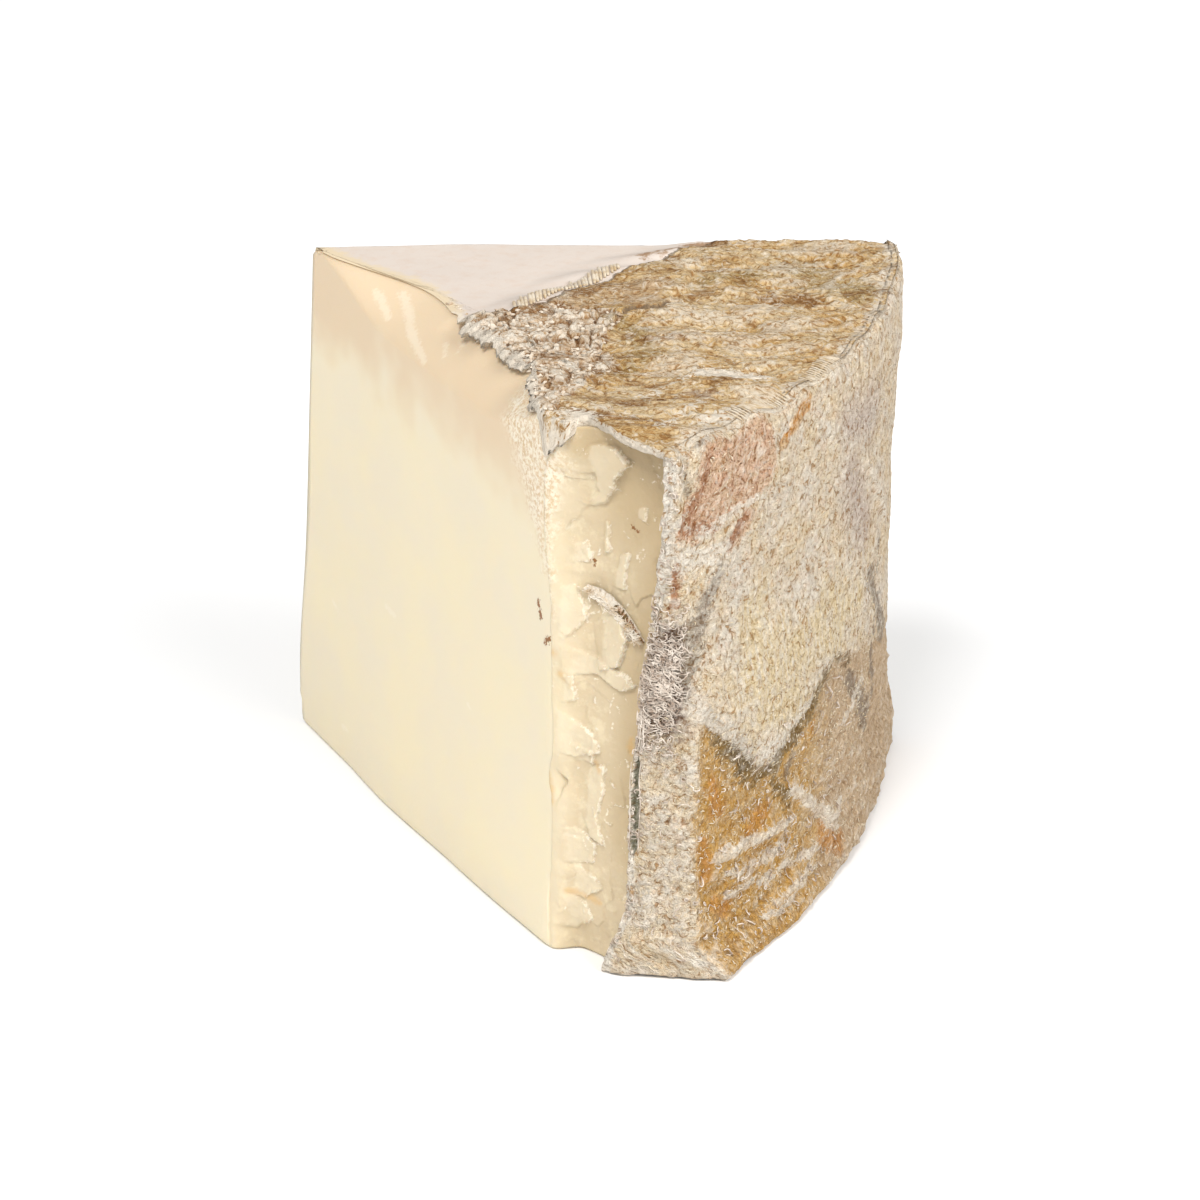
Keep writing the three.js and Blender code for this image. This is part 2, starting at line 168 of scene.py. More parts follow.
# Stains and growths on the side rind, as strokes from one place to another in
# millimetres along the side and up it, with a radius at each end.
SIDE_STAINS = {
    "terracotta": (
        (9.0, 107.5, 5.0, 24.0, 105.5, 7.5),
        (2.0, 101.5, 2.6, 12.0, 100.5, 5.0),
        (14.0, 100.0, 4.0, 22.0, 98.5, 2.6),
        (21.5, 94.5, 2.2, 16.0, 90.5, 1.8),
        (0.0, 97.0, 1.4, 3.0, 95.5, 1.4),
        (-1.0, 90.0, 0.8, -1.0, 84.0, 0.8),
    ),
    "orange_rim": (
        (34.5, 106.6, 1.8, 45.0, 110.2, 1.8),
    ),
    "rusty": (
        (8.0, 110.0, 0.6, 5.0, 104.0, 1.0),
        (5.0, 104.0, 1.0, 0.5, 99.5, 1.5),
        (0.5, 98.5, 1.6, 10.0, 96.5, 1.0),
        (20.5, 95.5, 1.0, 15.5, 90.0, 1.5),
        (-1.0, 91.0, 0.8, -1.0, 83.0, 0.9),
    ),
    "orange": (
        (46.9, 37.6, 0.8, 49.5, 40.0, 1.0),
        (3.2, 21.5, 1.8, 2.4, 29.0, 1.4),
        (6.0, 15.0, 1.2, 11.0, 13.0, 1.6),
        (54.0, 13.0, 2.4, 64.0, 6.5, 2.6),
        (7.0, 36.0, 2.6, 5.0, 42.0, 1.6),
        (20.0, 27.0, 1.8, 27.0, 28.0, 1.8),
        (-10.0, 23.0, 0.7, -8.0, 22.0, 0.9),
    ),
    "ash": (
        (1.0, 110.5, 0.4, 0.8, 104.0, 0.4),
        # The stroke at 93 mm along is painted shadow of a fold down the side.
        (93.0, 66.0, 0.6, 93.0, 28.0, 1.6),
        (12.0, 87.0, 1.2, 8.0, 80.0, 2.2),
        (8.0, 80.0, 2.2, 2.5, 73.0, 3.8),
        (2.5, 73.0, 3.8, -5.0, 62.0, 3.2),
        (71.0, 41.0, 2.6, 87.0, 25.0, 3.0),
        (84.0, 60.0, 2.0, 104.0, 40.0, 3.2),
        (12.0, 48.0, 1.8, 17.5, 43.0, 2.8),
        (9.0, 114.0, 1.2, 6.5, 114.0, 1.0),
        (36.0, 34.0, 0.9, 38.5, 38.0, 1.0),
    ),
    "mould": (
        (22.0, 38.0, 2.2, 30.0, 38.0, 2.6),
        (30.0, 38.0, 2.6, 40.0, 42.0, 3.0),
        (40.0, 42.0, 3.0, 51.0, 46.0, 2.4),
        (51.0, 46.0, 2.0, 59.0, 49.5, 1.2),
        (4.5, 57.0, 1.8, 9.5, 49.5, 2.8),
        (9.5, 49.5, 2.8, 18.5, 41.0, 3.2),
        (30.0, 34.0, 1.6, 37.5, 27.0, 1.8),
        (64.0, 48.0, 0.8, 70.0, 46.0, 1.0),
    ),
    "chalk": (
        (6.0, 96.5, 0.9, 26.0, 97.5, 0.6),
        (1.0, 92.0, 2.6, 14.0, 90.0, 2.0),
        (3.0, 58.0, 2.0, 19.5, 43.5, 1.1),
        (24.0, 43.0, 1.8, 33.0, 42.0, 1.8),
        (35.5, 44.6, 1.1, 46.0, 45.6, 1.2),
        (39.2, 28.5, 1.1, 63.0, 11.0, 2.0),
        (63.0, 11.0, 2.0, 66.9, 14.5, 0.8),
        (63.7, 34.0, 0.5, 81.0, 38.0, 0.6),
        (8.4, 26.0, 0.8, 23.0, 23.5, 0.9),
        (23.0, 23.5, 0.9, 40.0, 21.5, 0.7),
        (23.0, 13.5, 0.8, 54.0, 9.5, 0.7),
        (11.0, 15.0, 0.9, 22.0, 15.0, 1.0),
        (24.0, 5.8, 0.9, 51.0, 5.8, 0.7),
        (10.0, 20.0, 0.6, 38.0, 17.0, 0.6),
    ),
    "warm": (
        (24.0, 72.0, 6.0, 20.0, 58.0, 6.0),
        (24.0, 60.0, 8.0, 62.0, 56.0, 5.0),
        (55.0, 62.0, 6.0, 74.0, 60.0, 5.0),
        (26.0, 50.0, 5.0, 40.0, 50.0, 4.0),
    ),
    "lilac": (
        (66.0, 89.0, 5.0, 76.0, 76.0, 6.0),
        (66.0, 100.0, 4.0, 84.0, 96.0, 5.0),
    ),
    # Where the rind takes painted shade under the thread tangle.
    "tangle": (
        (-2.0, 76.0, 2.5, -5.0, 66.0, 4.5),
        (-5.0, 66.0, 4.5, -6.0, 57.0, 4.0),
    ),
}

# The outline of the ochre lower part of the rind, along the side and up it.
OCHRE = (
    (0.8, -30.0), (0.4, 14.0), (-0.6, 30.0), (0.6, 46.0), (2.0, 54.0), (4.2, 58.0), (13.7, 49.0),
    (21.5, 39.5), (31.0, 36.5), (37.5, 43.5), (48.0, 47.0), (60.0, 50.0), (80.0, 45.0),
    (110.0, 38.0), (190.0, 34.0), (190.0, -30.0),
)

# Marks on the top rind, as strokes in plan, measured from the tip line.
TOP_STAINS = {
    "olive": (
        (84.0, -9.0, 2.5, 96.0, -18.0, 3.5),
        (96.0, -18.0, 3.5, 100.0, -36.0, 2.0),
        (99.0, 39.0, 5.0, 119.0, 31.0, 5.0),
        (88.0, 20.0, 2.0, 94.0, 30.0, 3.0),
    ),
    "umber": (
        # The first stroke is painted shadow below the pale layer's raised, stitched edge.
        (65.5, -19.0, 2.0, 72.0, 6.0, 1.8),
        (94.0, -18.0, 0.8, 104.0, -12.5, 1.0),
        (106.0, -58.5, 1.6, 122.0, -56.5, 1.4),
        (112.0, -50.0, 0.8, 121.0, -38.0, 1.0),
        (121.0, -38.0, 1.0, 124.0, -20.0, 0.8),
        (68.0, 28.0, 1.4, 76.0, 44.0, 2.0),
        (99.3, -44.0, 1.0, 96.0, -26.0, 0.8),
        (104.0, 16.0, 1.5, 112.0, 22.0, 2.0),
    ),
    "flap": (
        (73.0, -8.0, 4.0, 80.0, 10.0, 6.0),
        (78.0, 8.0, 5.0, 84.0, 0.0, 4.0),
    ),
    "chalk": (
        (84.6, 27.0, 1.2, 86.2, 29.2, 1.2),
        (115.0, -27.0, 2.6, 124.0, -22.0, 2.8),
        (122.0, -58.6, 0.5, 123.0, -42.0, 0.5),
        (111.0, -46.0, 0.4, 114.5, -26.0, 0.5),
        (101.5, -61.5, 1.0, 107.5, -60.0, 2.4),
        (128.0, -50.0, 1.4, 134.0, -34.0, 1.2),
    ),
}
# The torn edge of the cloth flap that lies on the top, anticlockwise.
FLAP = (
    (66.0, -24.0), (79.1, -12.4), (83.0, -8.0), (85.3, -2.8), (89.2, -2.4), (89.0, 2.5),
    (87.0, 8.0), (86.1, 12.2), (84.0, 22.0), (74.0, 26.0), (66.0, 20.0), (60.0, -8.0),
)
CRACKS = (
    (72.4, -24.6, 79.7, -23.0),
    (79.7, -23.0, 86.5, -24.6),
    (90.5, -13.8, 103.4, -9.1),
    (84.0, -20.0, 88.0, -27.0),
)
SEAM_START = (62.6, -17.0)
SEAM_END = (67.9, 15.5)
KNOB = (81.0, 9.8, 2.4)

# Pale scratches and smears on the cut face, along it from the tip and up it.
SCRATCHES = (
    (25.8, 111.6, 0.5, 35.8, 108.4, 0.6),
    (31.5, 112.6, 0.5, 46.1, 108.8, 0.8),
    (46.1, 108.8, 0.8, 59.1, 106.3, 0.6),
    (58.8, 110.8, 0.4, 63.7, 108.7, 0.3),
    (63.7, 112.0, 0.3, 65.5, 110.5, 0.3),
    (16.0, 35.4, 0.6, 18.0, 34.6, 0.5),
    (42.2, 45.0, 0.7, 47.0, 44.5, 0.6),
    (24.0, 8.5, 0.7, 26.5, 8.5, 0.6),
    (84.0, 38.8, 0.5, 85.4, 38.2, 0.4),
)
# The dried, grainy band on the cut face by the broken strip.
GRAINY_BAND = (
    (92.0, 114.5), (99.0, 107.0), (109.0, 99.0), (114.5, 90.0), (118.6, 81.0), (122.5, 81.0),
    (122.5, 114.5),
)

# Straight threads over the rind's cut edge: how far beyond it at their start
# and end, and the heights of both.
THREAD_STEPS = 14
STRANDS = (
    ((-1.9, -1.6), 47.0, 60.0),
    ((-1.3, -1.5), 49.0, 61.0),
    ((-0.8, -1.2), 48.5, 59.0),
    ((-0.4, -0.9), 50.0, 58.0),
    ((-2.3, 0.6), 31.0, 31.8),
    ((-2.2, 0.9), 32.0, 31.2),
    ((-1.9, 0.4), 30.2, 31.4),
    ((-2.2, -2.2), 27.0, 47.0),
    ((-0.2, -0.2), 27.0, 47.5),
)
SEAM_RIDGES = 30
SEAM_RIDGE_RADIUS = 0.42
RIM_RIDGE_RADIUS = 0.17
STITCH_LEAN = (4.0, 5.4)
# Short ridges over the rim: from where to where along it, and how long they are.
RIM_RIDGES = ((20.0, 38.0, 3.0), (48.0, 62.0, 2.4))
CURL_START = (108.4, 80.2)
CURL_END = (122.4, 71.4)
CURL_STEPS = 70
CURL_RIBS = 13
CURL_THREADS = 110
CURL_THREAD_STEPS = 9
TUFT_STEPS = 5

# The stage, in metres: the floor lies just under the wedge's foot.
FLOOR_HALF = 3.0
FLOOR_GAP = 0.0004
LIGHT_AIM = (0.0, 0.0, 0.05)
CAMERA_AIM = (0.01764, -0.018243, 0.057)
# Each light's place, its width and its share of the key's power.
LIGHTS = {
    "key_light": ((0.25, -1.7, 2.4), 1.0, 1.0),
    "fill_light": ((2.4, -0.45, 1.6), 1.8, 1.13),
}

HASH_I = np.uint32(374761393)
HASH_J = np.uint32(668265263)
HASH_SEED = np.uint32(1274126177)
HASH_MIX = np.uint32(1103515245)
HASH_RANGE = 4294967296.0


def smoothstep(value, low, high):
    share = np.clip((value - low) / (high - low), 0.0, 1.0)
    return share * share * (3.0 - 2.0 * share)


def bell(value, middle, spread):
    return np.exp(-(((value - middle) / spread) ** 2))


def lerp(low, high, share):
    return low + (high - low) * share


def scatter(i, j, seed):
    """A repeatable number from 0 to 1 for each whole-number place."""
    with np.errstate(over="ignore"):
        h = np.asarray(i).astype(np.int64).astype(np.uint32) * HASH_I
        h = h ^ (np.asarray(j).astype(np.int64).astype(np.uint32) * HASH_J)
        h = h ^ (np.uint32(seed) * HASH_SEED)
        h = (h ^ (h >> np.uint32(13))) * HASH_MIX
        return (h ^ (h >> np.uint32(16))) / HASH_RANGE


def hills(u, v, seed):
    """Smooth hills and hollows from -1 to 1, one step of u or v apart."""
    i = np.floor(u)
    j = np.floor(v)
    s = smoothstep(u - i, 0.0, 1.0)
    t = smoothstep(v - j, 0.0, 1.0)
    near = lerp(scatter(i, j, seed), scatter(i + 1, j, seed), s)
    far = lerp(scatter(i, j + 1, seed), scatter(i + 1, j + 1, seed), s)
    return 2.0 * lerp(near, far, t) - 1.0


def crumble(u, v, seed, octaves=4):
    """Hills on hills, each set half as wide and half as high as the last."""
    total = np.zeros(np.broadcast(u, v).shape)
    for k in range(octaves):
        total += hills(u, v, seed + k) * 0.5**k
        u, v = 1.6 * u - 1.2 * v + 3.7, 1.2 * u + 1.6 * v - 1.9
    return total / 1.9


def ridges(u, v, seed, octaves=3):
    """Sharp crests from 0 to 1, each set half as wide and half as high as the last."""
    total = np.zeros(np.broadcast(u, v).shape)
    for k in range(octaves):
        total += (1.0 - np.abs(hills(u, v, seed + k))) * 0.5**k
        u, v = 1.6 * u - 1.2 * v + 3.7, 1.2 * u + 1.6 * v - 1.9
    return total / (2.0 - 0.5 ** (octaves - 1))


def strokes(u, v, marks):
    """Millimetres inside the nearest stroke, below 0 outside it."""
    best = np.full(np.broadcast(u, v).shape, -FAR)
    for u0, v0, r0, u1, v1, r1 in marks:
        du, dv = u1 - u0, v1 - v0
        way = np.clip(((u - u0) * du + (v - v0) * dv) / (du * du + dv * dv + 1e-9), 0.0, 1.0)
        gap = np.hypot(u - u0 - way * du, v - v0 - way * dv)
        best = np.maximum(best, lerp(r0, r1, way) - gap)
    return best


def inside(u, v, corners):
    """Millimetres inside an outline given by its corners, below 0 outside it."""
    gap = np.full(np.broadcast(u, v).shape, FAR)
    within = np.zeros(gap.shape, dtype=bool)
    for (u0, v0), (u1, v1) in zip(corners, corners[1:] + corners[:1]):
        du, dv = u1 - u0, v1 - v0
        way = np.clip(((u - u0) * du + (v - v0) * dv) / (du * du + dv * dv + 1e-9), 0.0, 1.0)
        gap = np.minimum(gap, np.hypot(u - u0 - way * du, v - v0 - way * dv))
        crosses = (v0 > v) != (v1 > v)
        meets = u0 + (v - v0) * du / (dv if abs(dv) > 1e-9 else 1e-9)
        within ^= crosses & (u < meets)
    return np.where(within, gap, -gap)


def turned(x, y, angle):
    """How far along and across a way at this angle each place lies."""
    return x * np.cos(angle) + y * np.sin(angle), y * np.cos(angle) - x * np.sin(angle)


def tip_at(z):
    """The line of the wedge's tip, which leans a little and is worn low down."""
    share = z / HEIGHT
    x = lerp(TIP_FOOT[0], TIP_TOP[0], share) - bell(z, 17.0, 18.0)
    return x, lerp(TIP_FOOT[1], TIP_TOP[1], share)


def crease_at(z):
    """The line where the smooth cut face meets the broken strip, a little ragged."""
    reach = CREASE_REACH - 4.3 * bell(z, 95.0, 16.0) - 1.3 * smoothstep(z, 105.0, HEIGHT)
    ragged = 1.3 * crumble(z / 5.5, 3.0, 19, 3)
    reach = reach + ragged * (1.0 - smoothstep(z, 104.0, HEIGHT))
    return reach * math.cos(CREASE_ANGLE), reach * math.sin(CREASE_ANGLE)


def rind_edge_at(z):
    """The front corner of the rind's cut edge. Its foot juts forward and left."""
    jut = 1.0 - smoothstep(z, 0.0, 16.0)
    lean = RIND_EDGE_LEAN * smoothstep(z, 28.0, 112.0)
    return RIND_EDGE_FOOT + lean - 4.2 * jut, RIND_EDGE_FRONT - 2.4 * jut


def flare_at(z):
    """How much of the foot's wider outline the side has, from 1 at the foot to 0."""
    skirt = LOWER_FLARE * (1.0 - smoothstep(z, 50.0, 80.0))
    return skirt + (1.0 - LOWER_FLARE) * (1.0 - smoothstep(z, 0.0, HEM_HEIGHT))


def on_arc(arc, share, swell):
    angle = np.radians(lerp(arc["start"], arc["heel"], share))
    radius = arc["radius"] + swell
    return arc["x"] + radius * np.cos(angle), arc["y"] + radius * np.sin(angle)


def side_at(share, z):
    """The curved side before its relief: between the top's arc and the foot's."""
    swell = FRONT_SWELL * (1.0 - smoothstep(share, 0.03, 0.25))
    top_x, top_y = on_arc(TOP_ARC, share, swell)
    foot_x, foot_y = on_arc(FOOT_ARC, share, 0.0)
    flare = flare_at(z)
    waist = (0.9 * bell(z, 48.0, 30.0) - 0.7 * bell(z, 99.0, 14.0)) * smoothstep(share, 0.6, 1.0)
    return lerp(top_x, foot_x, flare) - waist, lerp(top_y, foot_y, flare)


def rounding(z, drop):
    """How far an edge at the top is rounded off, as a share of its radius."""
    rise = np.clip((z - (HEIGHT - drop)) / drop, 0.0, 1.0)
    return 1.0 - np.sqrt(1.0 - rise * rise)


def foot_rounding(z):
    """How far the edge round the foot lies in, less the hem's swell over it."""
    width, drop = FOOT_EDGE
    fall = np.clip(1.0 - z / drop, 0.0, 1.0)
    swell = 0.8 * (1.0 - smoothstep(z, HEM_HEIGHT, 2.0 * HEM_HEIGHT))
    return width * (1.0 - np.sqrt(1.0 - fall * fall)) - swell


def inward(x, y, dx, dy, distance):
    """Moves points of an outline inward, given the way along it."""
    size = np.hypot(dx, dy)
    return x - dy / size * distance, y + dx / size * distance


def shoulder_width(share):
    """How far the worn shoulder reaches in from the cut face's top edge."""
    return SHOULDER_WIDTH * smoothstep(share, 0.02, 0.34) * (1.0 - smoothstep(share, 0.74, 1.0))


def crease_rounding(gap):
    """How far the worn crease lies below a sharp one, a gap in millimetres away from it."""
    return CREASE_WEAR * np.clip(1.0 - gap / CREASE_REST, 0.0, 1.0) ** 2


def cut_face(z, share, relief=0.0):
    """The smooth cut face, with its belly low down and its shoulder at the top."""
    tip_x, tip_y = tip_at(z)
    end_x, end_y = crease_at(z)
    dx, dy = end_x - tip_x, end_y - tip_y
    width = shoulder_width(share) + 0.6
    drop = width * SHOULDER_SLOPE
    rise = np.clip((z - (HEIGHT - drop)) / drop, 0.0, 1.0)
    wave = 0.35 * hills(share * 5.0, z / 26.0, 3)
    belly = 1.5 * np.sin(np.pi * share) * np.exp(-z / 25.0)
    distance = width * rise**1.5 - belly - wave + 0.5 * foot_rounding(z) - relief
    return inward(tip_x + dx * share, tip_y + dy * share, dx, dy, distance)


def patchwork(along, up, size, lift, tilt, seed):
    """Tilted plates: their height and the millimetres to the nearest plate's edge."""
    column = np.floor(along / size)
    row = np.floor(up / size)
    nearest = np.full(along.shape, 1e9)
    second = np.full(along.shape, 1e9)
    height = np.zeros(along.shape)
    for di in (-1, 0, 1):
        for dj in (-1, 0, 1):
            i, j = column + di, row + dj
            across = along - (i + scatter(i, j, seed)) * size
            above = up - (j + scatter(i, j, seed + 1)) * size
            gap = np.hypot(across, above)
            level = lift * (2.0 * scatter(i, j, seed + 4) - 1.0)
            level = level + tilt * (2.0 * scatter(i, j, seed + 2) - 1.0) * across
            level = level + tilt * (2.0 * scatter(i, j, seed + 3) - 1.0) * above
            closer = gap < nearest
            second = np.where(closer, nearest, np.minimum(second, gap))
            height = np.where(closer, level, height)
            nearest = np.where(closer, gap, nearest)
    return height, 0.5 * (second - nearest)


def recess_at(z):
    """How far the broken strip is set back by the rind's cut edge."""
    upper = 2.0 * smoothstep(z, 50.0, 80.0)
    foot = 2.5 * (1.0 - smoothstep(z, 2.0, 14.0))
    return 2.5 + upper + foot


def broken_relief(x, z):
    """Height of the broken paste, and how far inside a flake's edge and face each place is, the
    masks of the flakes' painted highlights.
    """
    ragged = 0.6 * crumble(x / 2.2, z / 2.2, 21, 3)
    height = 0.6 * hills(x / 8.0, z / 7.0, 15) + 0.3 * crumble(x / 3.4, z / 3.8, 16, 3)
    edge = np.full(x.shape, -FAR)
    face = np.full(x.shape, -FAR)
    for lift, *corners in FLAKES:
        low = min(corner[0] for corner in corners)
        high = max(corner[0] for corner in corners)
        depth = inside(x, z, corners) + ragged
        slope = np.clip(1.4 * (x - low) / (high - low) - 0.15, 0.0, 1.0)
        height = height + 1.15 * lift * slope * smoothstep(depth, -0.12, 0.22)
        if lift > 0.0:
            # Painted highlight along each raised flake's right edge, partly whitish broken paste;
            # slivers and chip edges below take it too.
            edge = np.maximum(edge, 0.17 - np.abs(depth - 0.14) - 0.9 * (1.0 - slope))
            # The face mask marks the raised part of each flake, which is painted lighter as a
            # painted highlight.
            face = np.maximum(face, np.minimum(depth, 4.0 * slope - 1.6))
    draw = np.random.default_rng(5)
    for _ in range(SLIVERS):
        sx, sz = draw.uniform(99.0, 124.0), draw.uniform(3.0, 108.0)
        size, lean = draw.uniform(0.6, 2.2), draw.normal(0.0, 0.8)
        ends = (sx, sz, 0.18, sx + size * math.sin(lean), sz + size * math.cos(lean), 0.05)
        depth = strokes(x, z, (ends,)) + 0.3 * ragged
        height = height + draw.uniform(0.15, 0.4) * smoothstep(depth, -0.15, 0.12)
        edge = np.maximum(edge, depth - 0.05)
    chips, crevice = patchwork(x + 1.5 * ragged, 0.7 * z - ragged, 5.2, 0.1, 0.05, 31)
    height = height + chips + 0.05 * crumble(x / 1.1, z / 1.1, 33, 3)
    chipped = crumble(x / 5.0, z / 5.0, 35, 2)
    edge = np.maximum(edge, 0.05 - crevice + 1.2 * np.minimum(chipped - 0.42, 0.0))
    return height, edge, face


def broken_strip(z, share, flaky=True):
    """The broken strip: x, y and how far inside a flake's edge and face each place is, for the
    flakes' painted highlights.
    """
    start_x, start_y = crease_at(z)
    edge_x, edge_y = rind_edge_at(z)
    dx, dy = edge_x - start_x, edge_y - start_y
    fade = smoothstep(share, 0.02, 0.2) * (1.0 - smoothstep(share, 0.9, 1.0))
    fade = fade * smoothstep(z, -3.0, 3.0)
    x = start_x + dx * share
    relief, edge, face = broken_relief(x, z)
    pocket = 4.2 * smoothstep(share, 0.3, 1.0) * smoothstep(z, 74.0, 106.0)
    depth = recess_at(z) * smoothstep(share, 0.0, 0.42) + pocket + crease_rounding(dx * share)
    y = start_y + dy * share + depth - (fade * relief if flaky else 0.0)
    return x, y, edge + FAR * (fade - 1.0), face


def break_line(z, share, distance):
    """Places on the straight line across the broken strip's mouth, moved inward."""
    start_x, start_y = crease_at(z)
    edge_x, edge_y = rind_edge_at(z)
    dx, dy = edge_x - start_x, edge_y - start_y
    return inward(start_x + dx * share, start_y + dy * share, dx, dy, distance)


def strip_at(t, z):
    """The outside of the rind: t from -1 to 0 on the front strip, 0 to 1 on the side."""
    edge_x, edge_y = rind_edge_at(z)
    thick = LIP_WIDTH * (1.0 - 0.3 * hills(0.5, z / 9.0, 31))
    start_x, start_y = edge_x + thick, edge_y + 0.35
    end_x, end_y = side_at(0.0, z)
    way = np.clip(t + 1.0, 0.0, 1.0)
    side_x, side_y = side_at(np.clip(t, 0.0, 1.2), z)
    on_strip = t < 0.0
    x = np.where(on_strip, lerp(start_x, end_x, way), side_x)
    y = np.where(on_strip, lerp(start_y, end_y, way), side_y)
    return x, y


def strip_length(z):
    """Length of the front strip at a height, from the rind's cut edge to the side."""
    edge_x, edge_y = rind_edge_at(z)
    end_x, end_y = side_at(0.0, z)
    return np.hypot(end_x - edge_x - LIP_WIDTH, end_y - edge_y)


def run_of(t, z):
    """Millimetres along the rind from where the front strip meets the side."""
    return np.where(t < 0.0, t * strip_length(z), t * SIDE_LENGTH)


def place_of(run, z):
    """The place on the rind so many millimetres from the corner, past the heel too."""
    return np.where(run < 0.0, run / strip_length(z), run / SIDE_LENGTH)


def t_of(run, z):
    """The place on the rind at so many millimetres from where strip and side meet."""
    return np.clip(place_of(run, z), -1.0, 0.99)


def pleat_height(share, z):
    """How far the cloth's pleats stand up, in millimetres."""
    height = np.zeros(np.broadcast(share, z).shape)
    for start, end, low, high, lift in PLEATS:
        way = (share - start) / (end - start)
        middle = lerp(low, high, np.clip(way, 0.0, 1.0))
        reach = smoothstep(way, -0.1, 0.15) * (1.0 - smoothstep(way, 0.85, 1.1))
        height = height + lift * reach * bell(z, middle, PLEAT_WIDTH)
    return height


def side_surface(t, z, settings):
    """The outside of the side rind with its relief: x, y and the crust's height."""
    x, y = strip_at(t, z)
    run = run_of(t, z)
    ahead_x, ahead_y = strip_at(place_of(run + CORNER_REACH, z), z)
    behind_x, behind_y = strip_at(place_of(run - CORNER_REACH, z), z)
    relief, crust = side_relief(t, z, settings.pleats, settings.crust)
    ends = smoothstep(t, -1.0, -0.9) * (1.0 - smoothstep(t, 0.96, 1.04))
    inset = RIM_RADIUS * rounding(z, RIM_RADIUS) * smoothstep(t, -1.0, -0.2) + foot_rounding(z)
    x, y = inward(x, y, ahead_x - behind_x, ahead_y - behind_y, inset - (0.3 + 0.7 * ends) * relief)
    return x, y, crust


def under_side(share, z, distance):
    """Places on a wall that runs this far inside the side."""
    x, y = side_at(share, z)
    ahead_x, ahead_y = side_at(share + 0.01, z)
    return inward(x, y, ahead_x - x, ahead_y - y, distance + RIM_RADIUS * rounding(z, RIM_RADIUS))


def back_face(z, share, distance):
    """The plain cut face at the back, from the heel to the tip, moved inward."""
    heel_x, heel_y = side_at(1.0, z)
    tip_x, tip_y = tip_at(z)
    dx, dy = tip_x - heel_x, tip_y - heel_y
    distance = distance - BACK_HOLLOW * np.sin(np.pi * share)
    return inward(heel_x + dx * share, heel_y + dy * share, dx, dy, distance)


def raised(x, y, z):
    """Heights of a wall's points, lifted near the top as the top's relief is."""
    return z + broad_relief(x, y) * smoothstep(z, HEIGHT - RELIEF_DEPTH, HEIGHT)


def ochre_edge(run, z):
    """Millimetres into the ochre lower part of the side, below 0 over it."""
    return inside(run, z, OCHRE) + 1.6 * crumble(run / 5.0, z / 5.0, 91)


def side_relief(t, z, pleats, crust):
    """How far the side rind stands out in millimetres, and its crust's share of that."""
    share = np.clip(t, 0.0, 1.1)
    run = run_of(t, z)
    broad = 0.5 * hills(share * 9.0, z / 15.0, 41) * (t >= 0.0)
    fine = 0.3 * hills(run / 5.8, z / 6.0, 42)
    heel_bump = 1.1 * bell(share, 0.97, 0.1) * bell(z, 7.0, 6.0)
    pucker = 0.5 * hills(run / 5.0 + 7.0, z / 4.0, 51) * (t < 0.0) * smoothstep(-run, 0.5, 4.0)
    layer = ochre_edge(run, z) + 1.2 * crumble(run / 1.8, z / 1.8, 93, 3)
    lower = smoothstep(layer, -0.6, 1.2)
    cloth_edge = 0.5 * (1.0 - lower)
    grit = crumble(run / 1.1, z / 1.1, 43, 3)
    slanted = z - 0.05 * run + 1.2 * hills(run / 9.0, z / 9.0, 48)
    banks = ridges(run / 9.0, slanted / 2.7, 49, 4)
    scabs = np.clip(crumble(run / 3.2, z / 1.9, 47, 4) - 0.08, 0.0, 0.6)
    below = 1.0 - smoothstep(z, 16.0, 44.0)
    coarse = lower * (1.3 * below * (banks - 0.6) + 0.8 * scabs) + 0.4 * (1.0 - lower) * scabs
    strip = (t < 0.0) * 0.45 * crumble(run / 1.8, z / 2.2, 53, 4)
    calm = 1.0 - 0.75 * smoothstep(z, HEIGHT - 4.0, HEIGHT)
    texture = crust * calm * (0.26 * grit + coarse + strip)
    folds = pleats * pleat_height(t, z)
    return broad + fine + folds + heel_bump + pucker + cloth_edge + texture, texture


def seam_x(y):
    """Where the smooth, pale part of the top ends and the crumpled part starts."""
    main = 65.4 + 0.16 * y
    return lerp(50.0, main, smoothstep(y, -24.0, -17.0))


def cut_distance(x, y):
    """Share along the cut face's top edge, and millimetres in from that edge."""
    tip_x, tip_y = tip_at(HEIGHT)
    end_x, end_y = crease_at(HEIGHT)
    dx, dy = end_x - tip_x, end_y - tip_y
    size = np.hypot(dx, dy)
    share = ((x - tip_x) * dx + (y - tip_y) * dy) / size**2
    depth = (-(x - tip_x) * dy + (y - tip_y) * dx) / size
    return share, depth - shoulder_width(np.clip(share, 0.0, 1.0)) - 0.6


def broad_relief(x, y):
    """The top's thickness, folds and lumps, as the solid has them."""
    seam = 59.0 + 11.0 * smoothstep(y, 12.0, 45.0)
    thick = smoothstep(x, seam - 5.0, seam + 5.0)
    along, across = turned(x, y, math.radians(FOLD_DEGREES))
    bend = 3.0 * hills(along / 22.0, across / 22.0, 71)
    wrinkle = 0.6 * np.sin(2.0 * np.pi * (across + bend) / 13.0)
    lump = 0.9 * hills(x / 15.0, y / 15.0, 72)
    return thick * (1.6 + wrinkle + 0.7 * lump) + 0.3 * lump


def crumbly_zone(x, y):
    """1 on the crumbly patch by the broken corner, 0 on the crumpled cloth."""
    bound = 84.0 + 15.0 * smoothstep(-y, 12.0, 40.0)
    ragged = 2.5 * crumble(x / 6.0, y / 6.0, 95)
    inner = smoothstep(bound - x + ragged, -0.8, 0.8) * (1.0 - smoothstep(y + ragged, -8.0, -6.0))
    return inner * smoothstep(x + ragged, seam_x(y) + 2.5, seam_x(y) + 4.5)


def flap_edge(x, y):
    """Millimetres inside the torn cloth flap, below 0 outside it."""
    return inside(x, y, FLAP) + 0.9 * crumble(x / 2.4, y / 2.4, 97, 3)


